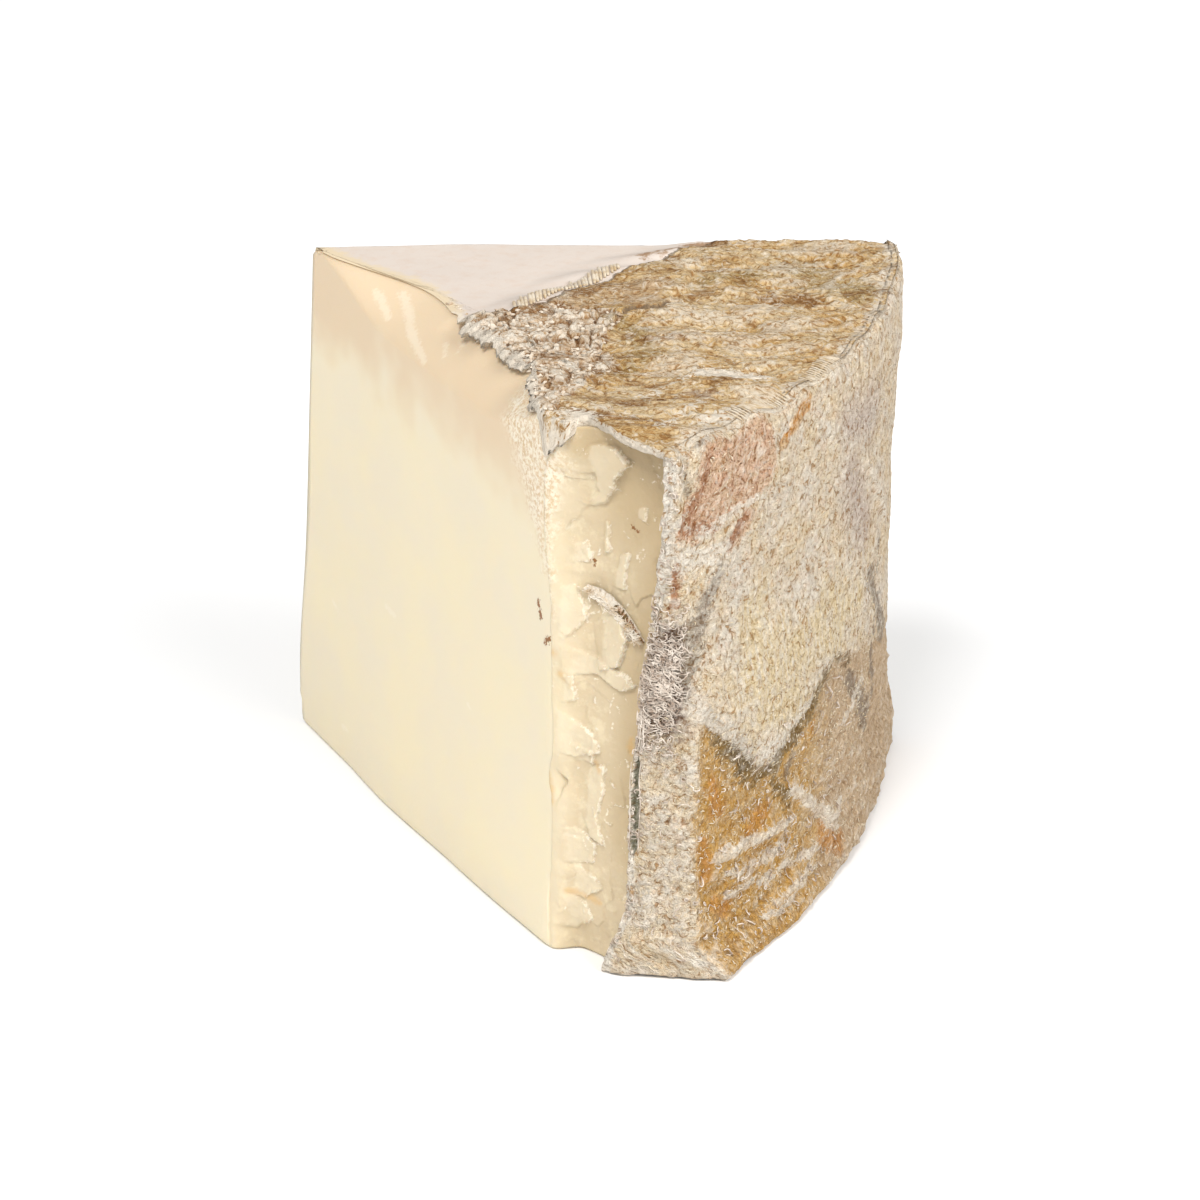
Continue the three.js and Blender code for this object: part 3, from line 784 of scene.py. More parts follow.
def fine_relief(x, y, wrinkle_height):
    """Wrinkles, torn edges, crumbs and cracks of the top rind: height, cracks and crust."""
    cloth = smoothstep(x, seam_x(y) - 0.5, seam_x(y) + 3.5)
    crumbly = crumbly_zone(x, y)
    flap = smoothstep(flap_edge(x, y), -0.2, 0.3) * cloth * (1.0 - crumbly)
    bend = 24.0 * smoothstep(x, 95.0, 140.0)
    along, across = turned(x - 90.0, y, np.radians(FOLD_DEGREES + bend))
    warp = 3.0 * crumble(along / 14.0, across / 8.0, 101, 3)
    folds = ridges(along / 8.0, (across + warp) / 3.8, 103, 4)
    creases = ridges(along / 2.4, (across + 1.3 * warp) / 1.6, 106, 3)
    wrinkles = wrinkle_height * (1.6 * (folds - 0.62) + 0.75 * (creases - 0.6))
    layer = 0.4 * smoothstep(crumble(x / 12.0, y / 8.0, 109, 4), 0.02, 0.07)
    plates, crevice = patchwork(0.6 * along + warp, across + 0.4 * warp, 2.3, 0.45, 0.32, 111)
    crevice = crevice - 0.25 * crumble(x / 1.5, y / 1.5, 115, 2)
    lumps = plates - 0.9 * (1.0 - smoothstep(crevice, -0.02, 0.24))
    lumps = lumps + 0.3 * crumble(x / 1.3, y / 1.3, 117, 2)
    smooth = 0.1 * crumble(x / 9.0, y / 5.0, 119, 3)
    golden = cloth * (1.0 - crumbly)
    crust = golden * (1.0 - 0.45 * flap) * (wrinkles + layer) + crumbly * lumps
    height = smooth + crust + 0.8 * flap + 0.5 * crumbly
    cracks = np.zeros(np.broadcast(x, y).shape)
    for x0, y0, x1, y1 in CRACKS:
        gap = strokes(x, y + 0.6 * hills(x / 3.0, y / 3.0, 121), ((x0, y0, 0.5, x1, y1, 0.4),))
        cracks = np.maximum(cracks, smoothstep(gap, 0.0, 0.3))
    ring = np.hypot(x - KNOB[0], y - KNOB[1])
    knob = 0.9 * bell(ring, KNOB[2], 0.8) - 0.6 * bell(ring, 0.0, 1.4)
    hem = 0.5 * bell(x, seam_x(y) - 0.6, 1.4) * smoothstep(y, -16.0, -12.0)
    hem = hem * (1.0 - smoothstep(y, 18.0, 24.0))
    return height - 0.8 * cracks + knob + hem, cracks, crust


def metres(x, y, z):
    """Points in metres in the part's own frame, as one list of rows."""
    parts = np.broadcast_arrays(x, y, z)
    points = np.stack([part.astype(float) for part in parts], axis=-1).reshape(-1, 3)
    return (points - (MIDDLE[0], MIDDLE[1], 0.0)) * MM


def ring_faces(rows, columns):
    """Quads between rows of points, each row a ring, as a list of corners."""
    here = np.arange(rows * columns).reshape(rows, columns)
    after = np.roll(here, -1, axis=1)
    quads = np.stack([here[:-1], after[:-1], after[1:], here[1:]], axis=-1).reshape(-1, 4)
    return [tuple(quad) for quad in quads.tolist()]


def closed_tube(rows, columns):
    """The faces of a stack of rings, with a face at each end."""
    ends = [tuple(range(columns - 1, -1, -1)), tuple(range((rows - 1) * columns, rows * columns))]
    return ring_faces(rows, columns) + ends


def join_columns(parts, rows, widths):
    """Values across a wall, from parts that are arrays or single values."""
    return np.hstack([np.broadcast_to(part, (rows, width)) for part, width in zip(parts, widths)])


def make_piece(name, points, faces, material, masks=None, smooth=True):
    """Adds a named mesh piece that rides on the wedge's body."""
    mesh = bpy.data.meshes.new(name)
    mesh.from_pydata(points, [], faces)
    mesh.validate()
    if smooth:
        mesh.shade_smooth()
    else:
        mesh.shade_flat()
    mesh.materials.append(material)
    for mask, values in (masks or {}).items():
        kind = "FLOAT_VECTOR" if np.ndim(values) == 2 else "FLOAT"
        layer = mesh.attributes.new(mask, kind, "POINT")
        key = "vector" if kind == "FLOAT_VECTOR" else "value"
        layer.data.foreach_set(key, np.asarray(values, dtype=np.float32).ravel())
    piece = bpy.data.objects.new(name, mesh)
    bpy.context.scene.collection.objects.link(piece)
    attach(piece, "root")
    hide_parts(NODE)


def srgb(code):
    """A colour written as an sRGB hex value, as the linear colour of it."""
    parts = [int(code[i:i + 2], 16) / 255.0 for i in (1, 3, 5)]
    return tuple(p / 12.92 if p <= 0.04045 else ((p + 0.055) / 1.055) ** 2.4 for p in parts)


def hue(name, description, code):
    """A colour setting with its default as an sRGB hex value."""
    return FloatVectorProperty(name=name, description=description, subtype="COLOR",
                               default=srgb(code))


def length(name, description, millimetres):
    """A length setting with its default in millimetres."""
    return FloatProperty(name=name, description=description, default=millimetres * MM,
                         unit="LENGTH", precision=5)


def plug(tree, node, sockets):
    """Sets a node's sockets to values, or links them to the outputs that feed them."""
    for socket, value in sockets.items():
        if isinstance(value, bpy.types.NodeSocket):
            tree.links.new(value, node.inputs[socket])
        elif node.inputs[socket].type == "RGBA":
            node.inputs[socket].default_value = (*value[:3], 1.0)
        else:
            node.inputs[socket].default_value = value


def add_node(tree, kind, sockets, output=0, **settings):
    """Adds a node with its settings, plugs in its sockets and gives back an output."""
    node = tree.nodes.new(kind)
    for name, value in settings.items():
        setattr(node, name, value)
    plug(tree, node, sockets)
    return node.outputs[output]


def new_material(name):
    """A node material with only its shader: the material, its tree and the shader."""
    material = bpy.data.materials.new(name)
    material.use_nodes = True
    tree = material.node_tree
    return material, tree, tree.nodes["Principled BSDF"]


def patterns(tree, where, table):
    """Noises from 0 to 1: each row gives the size of its hills in millimetres, its
    detail, roughness and twist, and how squeezed it is along x, y and z."""
    made = []
    for millimetres, detail, rough, twist, squeeze in table:
        place = add_node(tree, "ShaderNodeVectorMath", {0: where, 1: squeeze}, operation="MULTIPLY")
        made.append(add_node(tree, "ShaderNodeTexNoise", {
            "Vector": place, "Scale": 1.0 / (millimetres * MM), "Detail": detail,
            "Roughness": rough, "Distortion": twist}))
    return made


def stain(tree, mask, noise, ragged, soft, shift=0.0):
    """A mask in millimetres with an edge torn this far by noise, cut off softly."""
    value = add_node(tree, "ShaderNodeAttribute", {}, "Fac", attribute_name=mask)
    torn = add_node(tree, "ShaderNodeMath", {0: noise, 1: 4.0 * ragged, 2: shift - 2.0 * ragged},
                    operation="MULTIPLY_ADD")
    whole = add_node(tree, "ShaderNodeMath", {0: value, 1: torn}, operation="ADD")
    return add_node(tree, "ShaderNodeMapRange", {
        "Value": whole, "From Min": -0.5 * soft, "From Max": 0.5 * soft},
        interpolation_type="SMOOTHSTEP")


def lay(tree, below, above, pattern, low=0.0, high=1.0, most=1.0, within=1.0, blend="MIX"):
    """Lays a colour over another where a pattern runs from low to high, up to a share."""
    share = add_node(tree, "ShaderNodeMapRange", {
        "Value": pattern, "From Min": low, "From Max": high, "To Max": most})
    share = add_node(tree, "ShaderNodeMath", {0: share, 1: within}, operation="MULTIPLY")
    return add_node(tree, "ShaderNodeMix", {0: share, 6: below, 7: above}, 2,
                    data_type="RGBA", blend_type=blend)


def stained(tree, colour, rows):
    """Lays colours over another by masks. Each row gives the mask, the noise that
    tears its edge, how far and how softly, the greatest share and the colour."""
    for mask, noise, ragged, soft, most, tint in rows:
        colour = lay(tree, colour, tint, stain(tree, mask, noise, ragged, soft), most=most)
    return colour


def grained(tree, colour, within, rows):
    """Lays colours over another by patterns. Each row gives the pattern, from where
    to where it rises, the greatest share, the colour and how they blend."""
    for pattern, low, high, most, tint, blend in rows:
        colour = lay(tree, colour, tint, pattern, low, high, most, within, blend)
    return colour


def cheddar_paste_material(settings):
    """Cut cheddar: waxy, faintly translucent and even, a little peach by the rind."""
    material, tree, shader = new_material("cheddar_paste")
    where = add_node(tree, "ShaderNodeTexCoord", {}, "Object")
    broken = add_node(tree, "ShaderNodeAttribute", {}, "Fac", attribute_name="broken")
    cloudy, curd, fine = patterns(tree, where, (
        (16.0, 2.0, 0.55, 0.0, EVEN), (3.0, 4.0, 0.65, 0.0, EVEN), (0.8, 3.0, 0.65, 0.0, EVEN)))
    colour = lay(tree, settings.cream, settings.butter, cloudy, 0.35, 0.65)
    colour = lay(tree, colour, settings.torn, broken, 0.0, 1.0, 0.9)
    colour = lay(tree, colour, settings.butter, curd, 0.5, 0.66, 0.5, broken)
    speckled = lay(tree, settings.speckle, settings.bloom, fine, 0.4, 0.56)
    colour = stained(tree, colour, (
        ("peach", cloudy, 6.0, 14.0, 1.0, settings.peach),
        # Painted shade in the recess under the top rind and by the rind's lip, partly the darker
        # paste near the rind.
        ("deep_paste_and_shade", curd, 1.0, 8.0, 1.0, settings.deep_paste_and_shade),
        # Painted highlight: the raised faces of the flakes are made lighter so their relief shows.
        ("face", curd, 0.5, 0.6, 0.4, settings.cream),
        ("amber", curd, 0.8, 1.4, 0.45, settings.amber),
        ("dried", curd, 2.5, 6.0, 0.9, speckled),
        ("bloom", fine, 0.5, 0.7, 0.4, settings.bloom),
        # Painted highlight on the flakes' raised edges, partly whitish broken paste.
        ("edge", fine, 0.5, 0.3, 0.8, settings.bloom),
        ("brown", fine, 0.8, 0.4, 1.0, settings.brown)))
    depth = add_node(tree, "ShaderNodeMath", {0: broken, 1: 0.1, 2: 0.05},
                     operation="MULTIPLY_ADD")
    height = add_node(tree, "ShaderNodeMath", {0: fine, 1: depth}, operation="MULTIPLY")
    normal = add_node(tree, "ShaderNodeBump", {"Height": height, "Strength": 1.0, "Distance": MM})
    plug(tree, shader, {
        "Base Color": colour, "Roughness": 0.5, "IOR": 1.46, "Normal": normal,
        "Subsurface Weight": 0.2, "Subsurface Radius": (1.0, 0.62, 0.32),
        "Subsurface Scale": 2.5 * MM, "Specular IOR Level": 0.3})
    return material


def weave(tree, run, pitch):
    """Cloth threads both ways, a pitch in metres apart, as a height from 0 to 1."""
    height = 0.0
    for axis in ("X", "Y"):
        part = add_node(tree, "ShaderNodeSeparateXYZ", {0: run}, axis)
        phase = add_node(tree, "ShaderNodeMath", {0: part, 1: 2.0 * math.pi / pitch},
                         operation="MULTIPLY")
        wave = add_node(tree, "ShaderNodeMath", {0: phase}, operation="SINE")
        height = add_node(tree, "ShaderNodeMath", {0: height, 1: wave}, operation="MAXIMUM")
    return height


def side_rind_material(settings):
    """Cloth-bound rind: a dry plaster-like crust, mottled by mould, printed by the cloth."""
    material, tree, shader = new_material("cloth_bound_rind")
    run = add_node(tree, "ShaderNodeAttribute", {}, "Vector", attribute_name="run")
    crust = add_node(tree, "ShaderNodeAttribute", {}, "Fac", attribute_name="crust")
    cloudy, mottled, gritty, flaked, fibres, streaks = patterns(tree, run, (
        (11.0, 5.0, 0.65, 0.0, EVEN), (2.6, 6.0, 0.75, 0.0, EVEN), (0.8, 3.0, 0.7, 0.0, EVEN),
        (2.0, 6.0, 0.78, 0.0, (0.4, 1.0, 1.0)), (1.5, 5.0, 0.7, 1.0, EVEN),
        (1.2, 3.0, 0.6, 0.0, (1.0, 0.15, 1.0))))
    threads = weave(tree, run, settings.thread_pitch)

    plain = lay(tree, settings.chalk, settings.buff, cloudy, 0.4, 0.6)
    plain = lay(tree, plain, settings.blush, mottled, 0.48, 0.66, 0.55)
    plain = lay(tree, plain, settings.straw, stain(tree, "warm", cloudy, 5.0, 10.0))
    plain = lay(tree, plain, settings.white, streaks, 0.48, 0.6, 0.6,
                stain(tree, "warm", cloudy, 4.0, 8.0, 4.0))
    golden = lay(tree, settings.ochre, settings.tan, mottled, 0.44, 0.64)
    golden = lay(tree, golden, settings.tan, stain(tree, "right", cloudy, 12.0, 20.0), most=0.7)
    golden = lay(tree, golden, settings.lilac,
                 stain(tree, "right", mottled, 10.0, 16.0, -8.0), most=0.35)
    golden = lay(tree, golden, settings.amber, stain(tree, "orange", mottled, 2.2, 2.5), most=0.7)
    rusty = lay(tree, settings.rust, settings.terracotta, gritty, 0.34, 0.5)
    rusty = lay(tree, rusty, settings.buff, mottled, 0.42, 0.62, 0.5)
    worn = lay(tree, settings.amber, settings.buff, mottled, 0.42, 0.56, 0.7)
    crusty = lay(tree, settings.white, settings.rust, mottled, 0.44, 0.34, 0.6)
    colour = stained(tree, plain, (
        ("ochre", mottled, 3.0, 2.5, 1.0, golden),
        ("lilac", cloudy, 6.0, 10.0, 0.8, settings.lilac),
        # Painted shade under the thread tangle.
        ("tangle", mottled, 3.0, 4.0, 0.9, settings.shade_under_tangle),
        ("terracotta", mottled, 2.4, 1.8, 0.9, rusty),
        ("rusty", mottled, 2.0, 1.6, 0.75, settings.rust),
        ("orange_rim", mottled, 1.0, 0.8, 1.0, worn),
        ("ash", flaked, 3.4, 3.0, 0.7, settings.ash),
        ("mould", flaked, 3.6, 2.4, 0.72, settings.mould),
        ("lip", mottled, 1.2, 1.0, 1.0, crusty),
        ("slit", gritty, 0.3, 0.3, 1.0, settings.slit),
        ("chalk", flaked, 2.4, 1.0, 0.8, settings.white),
        ("pleat", mottled, 1.1, 0.5, 0.6, settings.white)))
    # The ochre part is smoother, so its grain is weaker.
    ochre_share = stain(tree, "ochre", mottled, 3.0, 2.5)
    grain = add_node(tree, "ShaderNodeMath", {0: ochre_share, 1: -0.45, 2: 1.0},
                     operation="MULTIPLY_ADD")
    # Painted light on the crust: where the relief and the fibre and grit bumps rise it is lightened
    # as a painted highlight, where they sink it is darkened as painted shade, partly chalky bloom
    # and dirt.
    colour = grained(tree, colour, grain, (
        (fibres, 0.49, 0.37, 0.9, settings.shade, "MULTIPLY"),
        (gritty, 0.43, 0.32, 0.5, settings.shade, "MULTIPLY"),
        (crust, 0.08, 0.36, 0.7, settings.white, "MIX"),
        (crust, -0.1, -0.34, 0.5, settings.shade, "MULTIPLY"),
        (fibres, 0.53, 0.66, 0.7, settings.white, "MIX")))

    normal = add_node(tree, "ShaderNodeBump", {
        "Height": threads, "Strength": 1.0, "Distance": 0.12 * MM})
    for pattern, depth in ((fibres, 1.5), (gritty, 0.6)):
        normal = add_node(tree, "ShaderNodeBump", {
            "Height": pattern, "Strength": 1.0, "Distance": depth * MM, "Normal": normal})
    plug(tree, shader, {
        "Base Color": colour, "Roughness": 0.88, "IOR": 1.45, "Normal": normal,
        "Specular IOR Level": 0.2})
    return material


def top_rind_material(settings):
    """The crumpled top rind: golden, brown and painted shade in its folds, painted highlights on
    its crests, pale pink by the tip.
    """
    material, tree, shader = new_material("crumpled_rind")
    where = add_node(tree, "ShaderNodeAttribute", {}, "Vector", attribute_name="run")
    crust = add_node(tree, "ShaderNodeAttribute", {}, "Fac", attribute_name="crust")
    cloudy, mottled, gritty, fibres = patterns(tree, where, (
        (12.0, 4.0, 0.6, 0.0, (0.8, 1.0, 1.0)), (3.2, 6.0, 0.75, 0.0, (0.8, 1.0, 1.0)),
        (0.8, 3.0, 0.7, 0.0, EVEN), (1.3, 4.0, 0.7, 1.2, (0.75, 1.0, 1.0))))
    cloth = stain(tree, "cloth", mottled, 1.2, 0.8)

    gold = lay(tree, settings.gold, settings.straw, cloudy, 0.42, 0.58)
    gold = lay(tree, gold, settings.umber, mottled, 0.52, 0.66, 0.7)
    pale = lay(tree, settings.bloom, settings.rose, mottled, 0.48, 0.7, 0.5)
    crumbs = lay(tree, settings.crumb, settings.fawn, mottled, 0.44, 0.56, 0.8)
    colour = stained(tree, lay(tree, pale, gold, cloth), (
        ("crumbly", mottled, 1.8, 1.6, 1.0, crumbs),
        ("flap", mottled, 1.5, 1.5, 0.7, settings.fawn),
        ("olive", mottled, 5.0, 4.0, 0.6, settings.olive),
        ("umber", mottled, 4.0, 2.5, 0.8, settings.umber),
        ("rim", mottled, 2.0, 1.2, 0.7, settings.crumb)))
    # Painted light on the crust: its hollows are laid over with umber and the fibres' hollows
    # darkened as painted shade, its crests and the fibres' crests lightened as a painted highlight,
    # partly dirt and pale fibres.
    colour = grained(tree, colour, cloth, (
        (crust, -0.05, -0.45, 0.8, settings.umber, "MIX"),
        (crust, 0.2, 0.6, 0.5, settings.crumb, "MIX"),
        (fibres, 0.5, 0.38, 0.85, settings.shade, "MULTIPLY"),
        (fibres, 0.53, 0.63, 0.62, settings.crumb, "MIX")))
    colour = stained(tree, colour, (
        # Painted shadow along the outside of the raised flap's torn edge.
        ("flap_shadow_line", fibres, 0.5, 0.5, 0.9, settings.flap_shadow),
        ("chalk", fibres, 3.0, 1.6, 0.9, settings.crumb),
        ("paste", mottled, 2.2, 3.0, 1.0, settings.paste)))

    both = add_node(tree, "ShaderNodeMath", {0: gritty, 1: 0.5, 2: fibres},
                    operation="MULTIPLY_ADD")
    share = add_node(tree, "ShaderNodeMath", {0: cloth, 1: 0.92, 2: 0.08},
                     operation="MULTIPLY_ADD")
    rough = add_node(tree, "ShaderNodeMath", {0: both, 1: share}, operation="MULTIPLY")
    normal = add_node(tree, "ShaderNodeBump", {
        "Height": rough, "Strength": 1.0, "Distance": 1.1 * MM})
    plug(tree, shader, {
        "Base Color": colour, "Roughness": 0.75, "IOR": 1.45, "Normal": normal,
        "Specular IOR Level": 0.3})
    return material


def thread_material(name, colour, dark):
    """Loose cotton or crumbs of crust: matt, off-white and soiled in places."""
    material, tree, shader = new_material(name)
    where = add_node(tree, "ShaderNodeTexCoord", {}, "Object")
    soiling, = patterns(tree, where, ((1.8, 3.0, 0.55, 0.0, EVEN),))
    plug(tree, shader, {
        "Base Color": lay(tree, colour, dark, soiling, 0.4, 0.65), "Roughness": 0.9, "IOR": 1.5,
        "Sheen Weight": 0.3, "Specular IOR Level": 0.2})
    return material


def curled_rind_material(settings):
    """The torn curl: white crust fibres outside, painted shade in rusty brown where it is hollow.
    """
    material, tree, shader = new_material("curled_rind")
    where = add_node(tree, "ShaderNodeTexCoord", {}, "Object")
    gritty, = patterns(tree, where, ((0.9, 4.0, 0.7, 1.0, EVEN),))
    colour = lay(tree, settings.white, settings.tan, gritty, 0.5, 0.38, 0.6)
    brown = lay(tree, settings.rust, settings.mould, gritty, 0.4, 0.56)
    # Painted shade inside the curl's hollow.
    colour = lay(tree, colour, brown, stain(tree, "hollow", gritty, 0.7, 0.4))
    normal = add_node(tree, "ShaderNodeBump", {
        "Height": gritty, "Strength": 1.0, "Distance": 0.8 * MM})
    plug(tree, shader, {
        "Base Color": colour, "Roughness": 0.88, "IOR": 1.45, "Normal": normal,
        "Specular IOR Level": 0.2})
    return material


def stack_rings(x, y, z):
    """Closed rings stacked into a side wall, with a flat foot and a flat head."""
    return metres(x, y, z), closed_tube(*x.shape)


def level_heights(step, top, crowded):
    """Heights from the foot to the top, closer together near the top."""
    main = np.arange(0.0, top - crowded, step)
    end = np.linspace(top - crowded, top, int(crowded / (step * 0.6)) + 1)
    return np.concatenate([main, end])


def rind_thickness(x, y):
    """How thick the top rind is: a skin by the tip, a crust beyond the seam."""
    return 0.7 + 1.3 * smoothstep(x, seam_x(y) - 4.0, seam_x(y) + 3.0)


class PasteSettings(bpy.types.PropertyGroup):
    """Sizes and colours of the cut cheese."""

    level_step: length("Level step", "Height between rows of points", 0.32)
    cream: hue("Cream", "Main colour of the paste", "#E0D4BA")
    butter: hue("Butter", "Yellower clouds in the paste", "#E3D6B6")
    peach: hue("Peach", "Paste that has dried by the rind", "#D8C2A3")
    torn: hue("Torn", "Yellower paste on the broken strip", "#C9B696")
    # Painted shade under the rind's edge and by its lip, partly the darker paste near the rind.
    deep_paste_and_shade: hue("Deep", "Darker paste under the rind's edge", "#BDA885")
    amber: hue("Amber", "Deep yellow in torn hollows", "#CFA25C")
    # Bloom is also the painted highlight on the flakes' raised edges.
    bloom: hue("Bloom", "Whitish smears and flake edges", "#E9DFCB")
    speckle: hue("Speckle", "Tan grain in the dried band", "#CDB28C")
    brown: hue("Brown", "Brown specks in cracks", "#8A5F38")


class SideRindSettings(bpy.types.PropertyGroup):
    """Sizes and colours of the rind round the curved side."""

    thickness: length("Thickness", "Thickness of the side rind", 2.3)
    pleats: FloatProperty(name="Pleats", description="Strength of the cloth's pleats",
                          default=1.0, subtype="FACTOR")
    crust: FloatProperty(name="Crust", description="Strength of the crusty relief",
                         default=1.0, subtype="FACTOR")
    thread_pitch: length("Thread pitch", "Spacing of the cloth's threads", 0.7)
    chalk: hue("Chalk", "Dry grey-cream rind", "#E7DBC9")
    buff: hue("Buff", "Warm cream rind", "#E7D2AF")
    straw: hue("Straw", "Smooth yellowish rind", "#E7D2A9")
    blush: hue("Blush", "Pinkish clouds in the rind", "#E5C7AB")
    # Painted shade under the thread tangle.
    shade_under_tangle: hue("Dusk", "Dark rind under the thread tangle", "#806A5E")
    ochre: hue("Ochre", "Golden lower rind", "#CC9E54")
    tan: hue("Tan", "Browner lower rind", "#D5B98F")
    terracotta: hue("Terracotta", "Pink-brown patches", "#DAB092")
    rust: hue("Rust", "Rusty grain in the pink-brown patches", "#A66E48")
    amber: hue("Amber", "Orange patches", "#CC8B38")
    ash: hue("Ash", "Grey growth", "#8A7D70")
    lilac: hue("Lilac", "Pale lilac-grey patches", "#CDBCB0")
    mould: hue("Mould", "Dark green-brown growth", "#705E3C")
    slit: hue("Slit", "Grey-green cloth in the split edge", "#A3A088")
    # White is also the painted highlight on the crests of the crust and its bumps, partly chalky
    # bloom.
    white: hue("White", "Chalky crests and flecks", "#F2E8D8")
    # Shade is painted shade in the hollows of the crust and its bumps, partly dirt.
    shade: hue("Shade", "Dirt in the hollows", "#B4946A")


class TopRindSettings(bpy.types.PropertyGroup):
    """Sizes and colours of the rind on top."""

    wrinkle_height: length("Wrinkle height", "Height of the folds", 0.8)
    rows: IntProperty(name="Rows", description="Rows of points from tip to rim", default=390)
    bloom: hue("Bloom", "Smooth pale rind by the tip", "#CFC3B8")
    rose: hue("Rose", "Pinker clouds in the pale rind", "#CAB4A2")
    gold: hue("Gold", "Golden-brown crumpled rind", "#C2A06B")
    straw: hue("Straw", "Lighter crumpled rind", "#D2B98F")
    # Umber is also painted shade in the crust's hollows and below the seam's raised edge.
    umber: hue("Umber", "Brown in the folds", "#8A6439")
    olive: hue("Olive", "Olive-brown growth", "#9A8250")
    fawn: hue("Fawn", "Grey-brown cloth flap", "#B3946E")
    # Crumb is also the painted highlight on the crests of the crust and its fibres.
    crumb: hue("Crumb", "Pale crests and crumbs", "#DED3C2")
    # Shade is painted shade between the fibres, partly dirt.
    shade: hue("Shade", "Dirt between the fibres", "#B8945F")
    # Painted shadow under the raised flap's torn edge.
    flap_shadow: hue("Dirt", "Dark line under the torn flap", "#7D6850")
    paste: hue("Paste", "Peach paste that shows at the cut edge", "#D5C3A5")


class ThreadSettings(bpy.types.PropertyGroup):
    """Sizes and colours of loose threads, stitches and crumbs."""

    radius: length("Thread radius", "Half the thickness of a thread", 0.115)
    count: IntProperty(name="Threads", description="How many loose threads there are", default=850)
    crumbs: IntProperty(name="Crumbs", description="How many crumbs there are", default=900)
    tufts: IntProperty(name="Tufts", description="How many chalky tufts the side has", default=2400)
    crumb_size: length("Crumb size", "Size of the largest crumb", 0.75)
    cotton: hue("Cotton", "Clean thread", "#DDD1C3")
    soiled: hue("Soiled", "Soiled thread", "#A18C7A")


class StageSettings(bpy.types.PropertyGroup):
    """The floor, the light and the camera."""

    floor: hue("Floor", "Colour of the floor", "#FAFAFA")
    sky: FloatProperty(name="Sky", description="Strength of the all-round light", default=0.5)
    key: FloatProperty(name="Key", description="Power of the main soft light", default=56.0,
                       subtype="POWER")
    azimuth: FloatProperty(name="Azimuth", description="Way round to the camera",
                           default=math.radians(30.882), subtype="ANGLE")
    elevation: FloatProperty(name="Elevation", description="Height angle of the camera",
                             default=math.radians(23.221), subtype="ANGLE")
    roll: FloatProperty(name="Roll", description="Lean of the camera",
                        default=math.radians(0.788), subtype="ANGLE")
    distance: FloatProperty(name="Distance", description="From the camera to the middle",
                            default=1.1198, unit="LENGTH")
    lens: FloatProperty(name="Lens", description="Focal length in millimetres", default=161.107)


def slit_depth(lip_share, z):
    """Millimetres inside the slit that splits the rind's cut edge low down."""
    half = 0.95 * smoothstep(z, 26.0, 29.0) * (1.0 - smoothstep(z, 46.0, 49.0)) - 0.15
    half = half - 0.7 * bell(z, 31.5, 0.9)
    return half - np.abs(lip_share - 0.5) * LIP_WIDTH + 0.15 * crumble(z / 1.5, 0.0, 149, 3)


def evened(values, reach):
    """Each row's values, averaged over so many neighbours either way."""
    width = values.shape[1]
    padded = np.pad(values, ((0, 0), (reach, reach)), mode="wrap")
    return sum(padded[:, k:k + width] for k in range(2 * reach + 1)) / (2 * reach + 1)


def nearest_gap(x, y, line_x, line_y):
    """Millimetres from each place to the nearest point of a line of points."""
    gap = np.full(x.shape, FAR * FAR)
    for a, b in zip(line_x[::3], line_y[::3]):
        gap = np.minimum(gap, (x - a) ** 2 + (y - b) ** 2)
    return np.sqrt(gap)


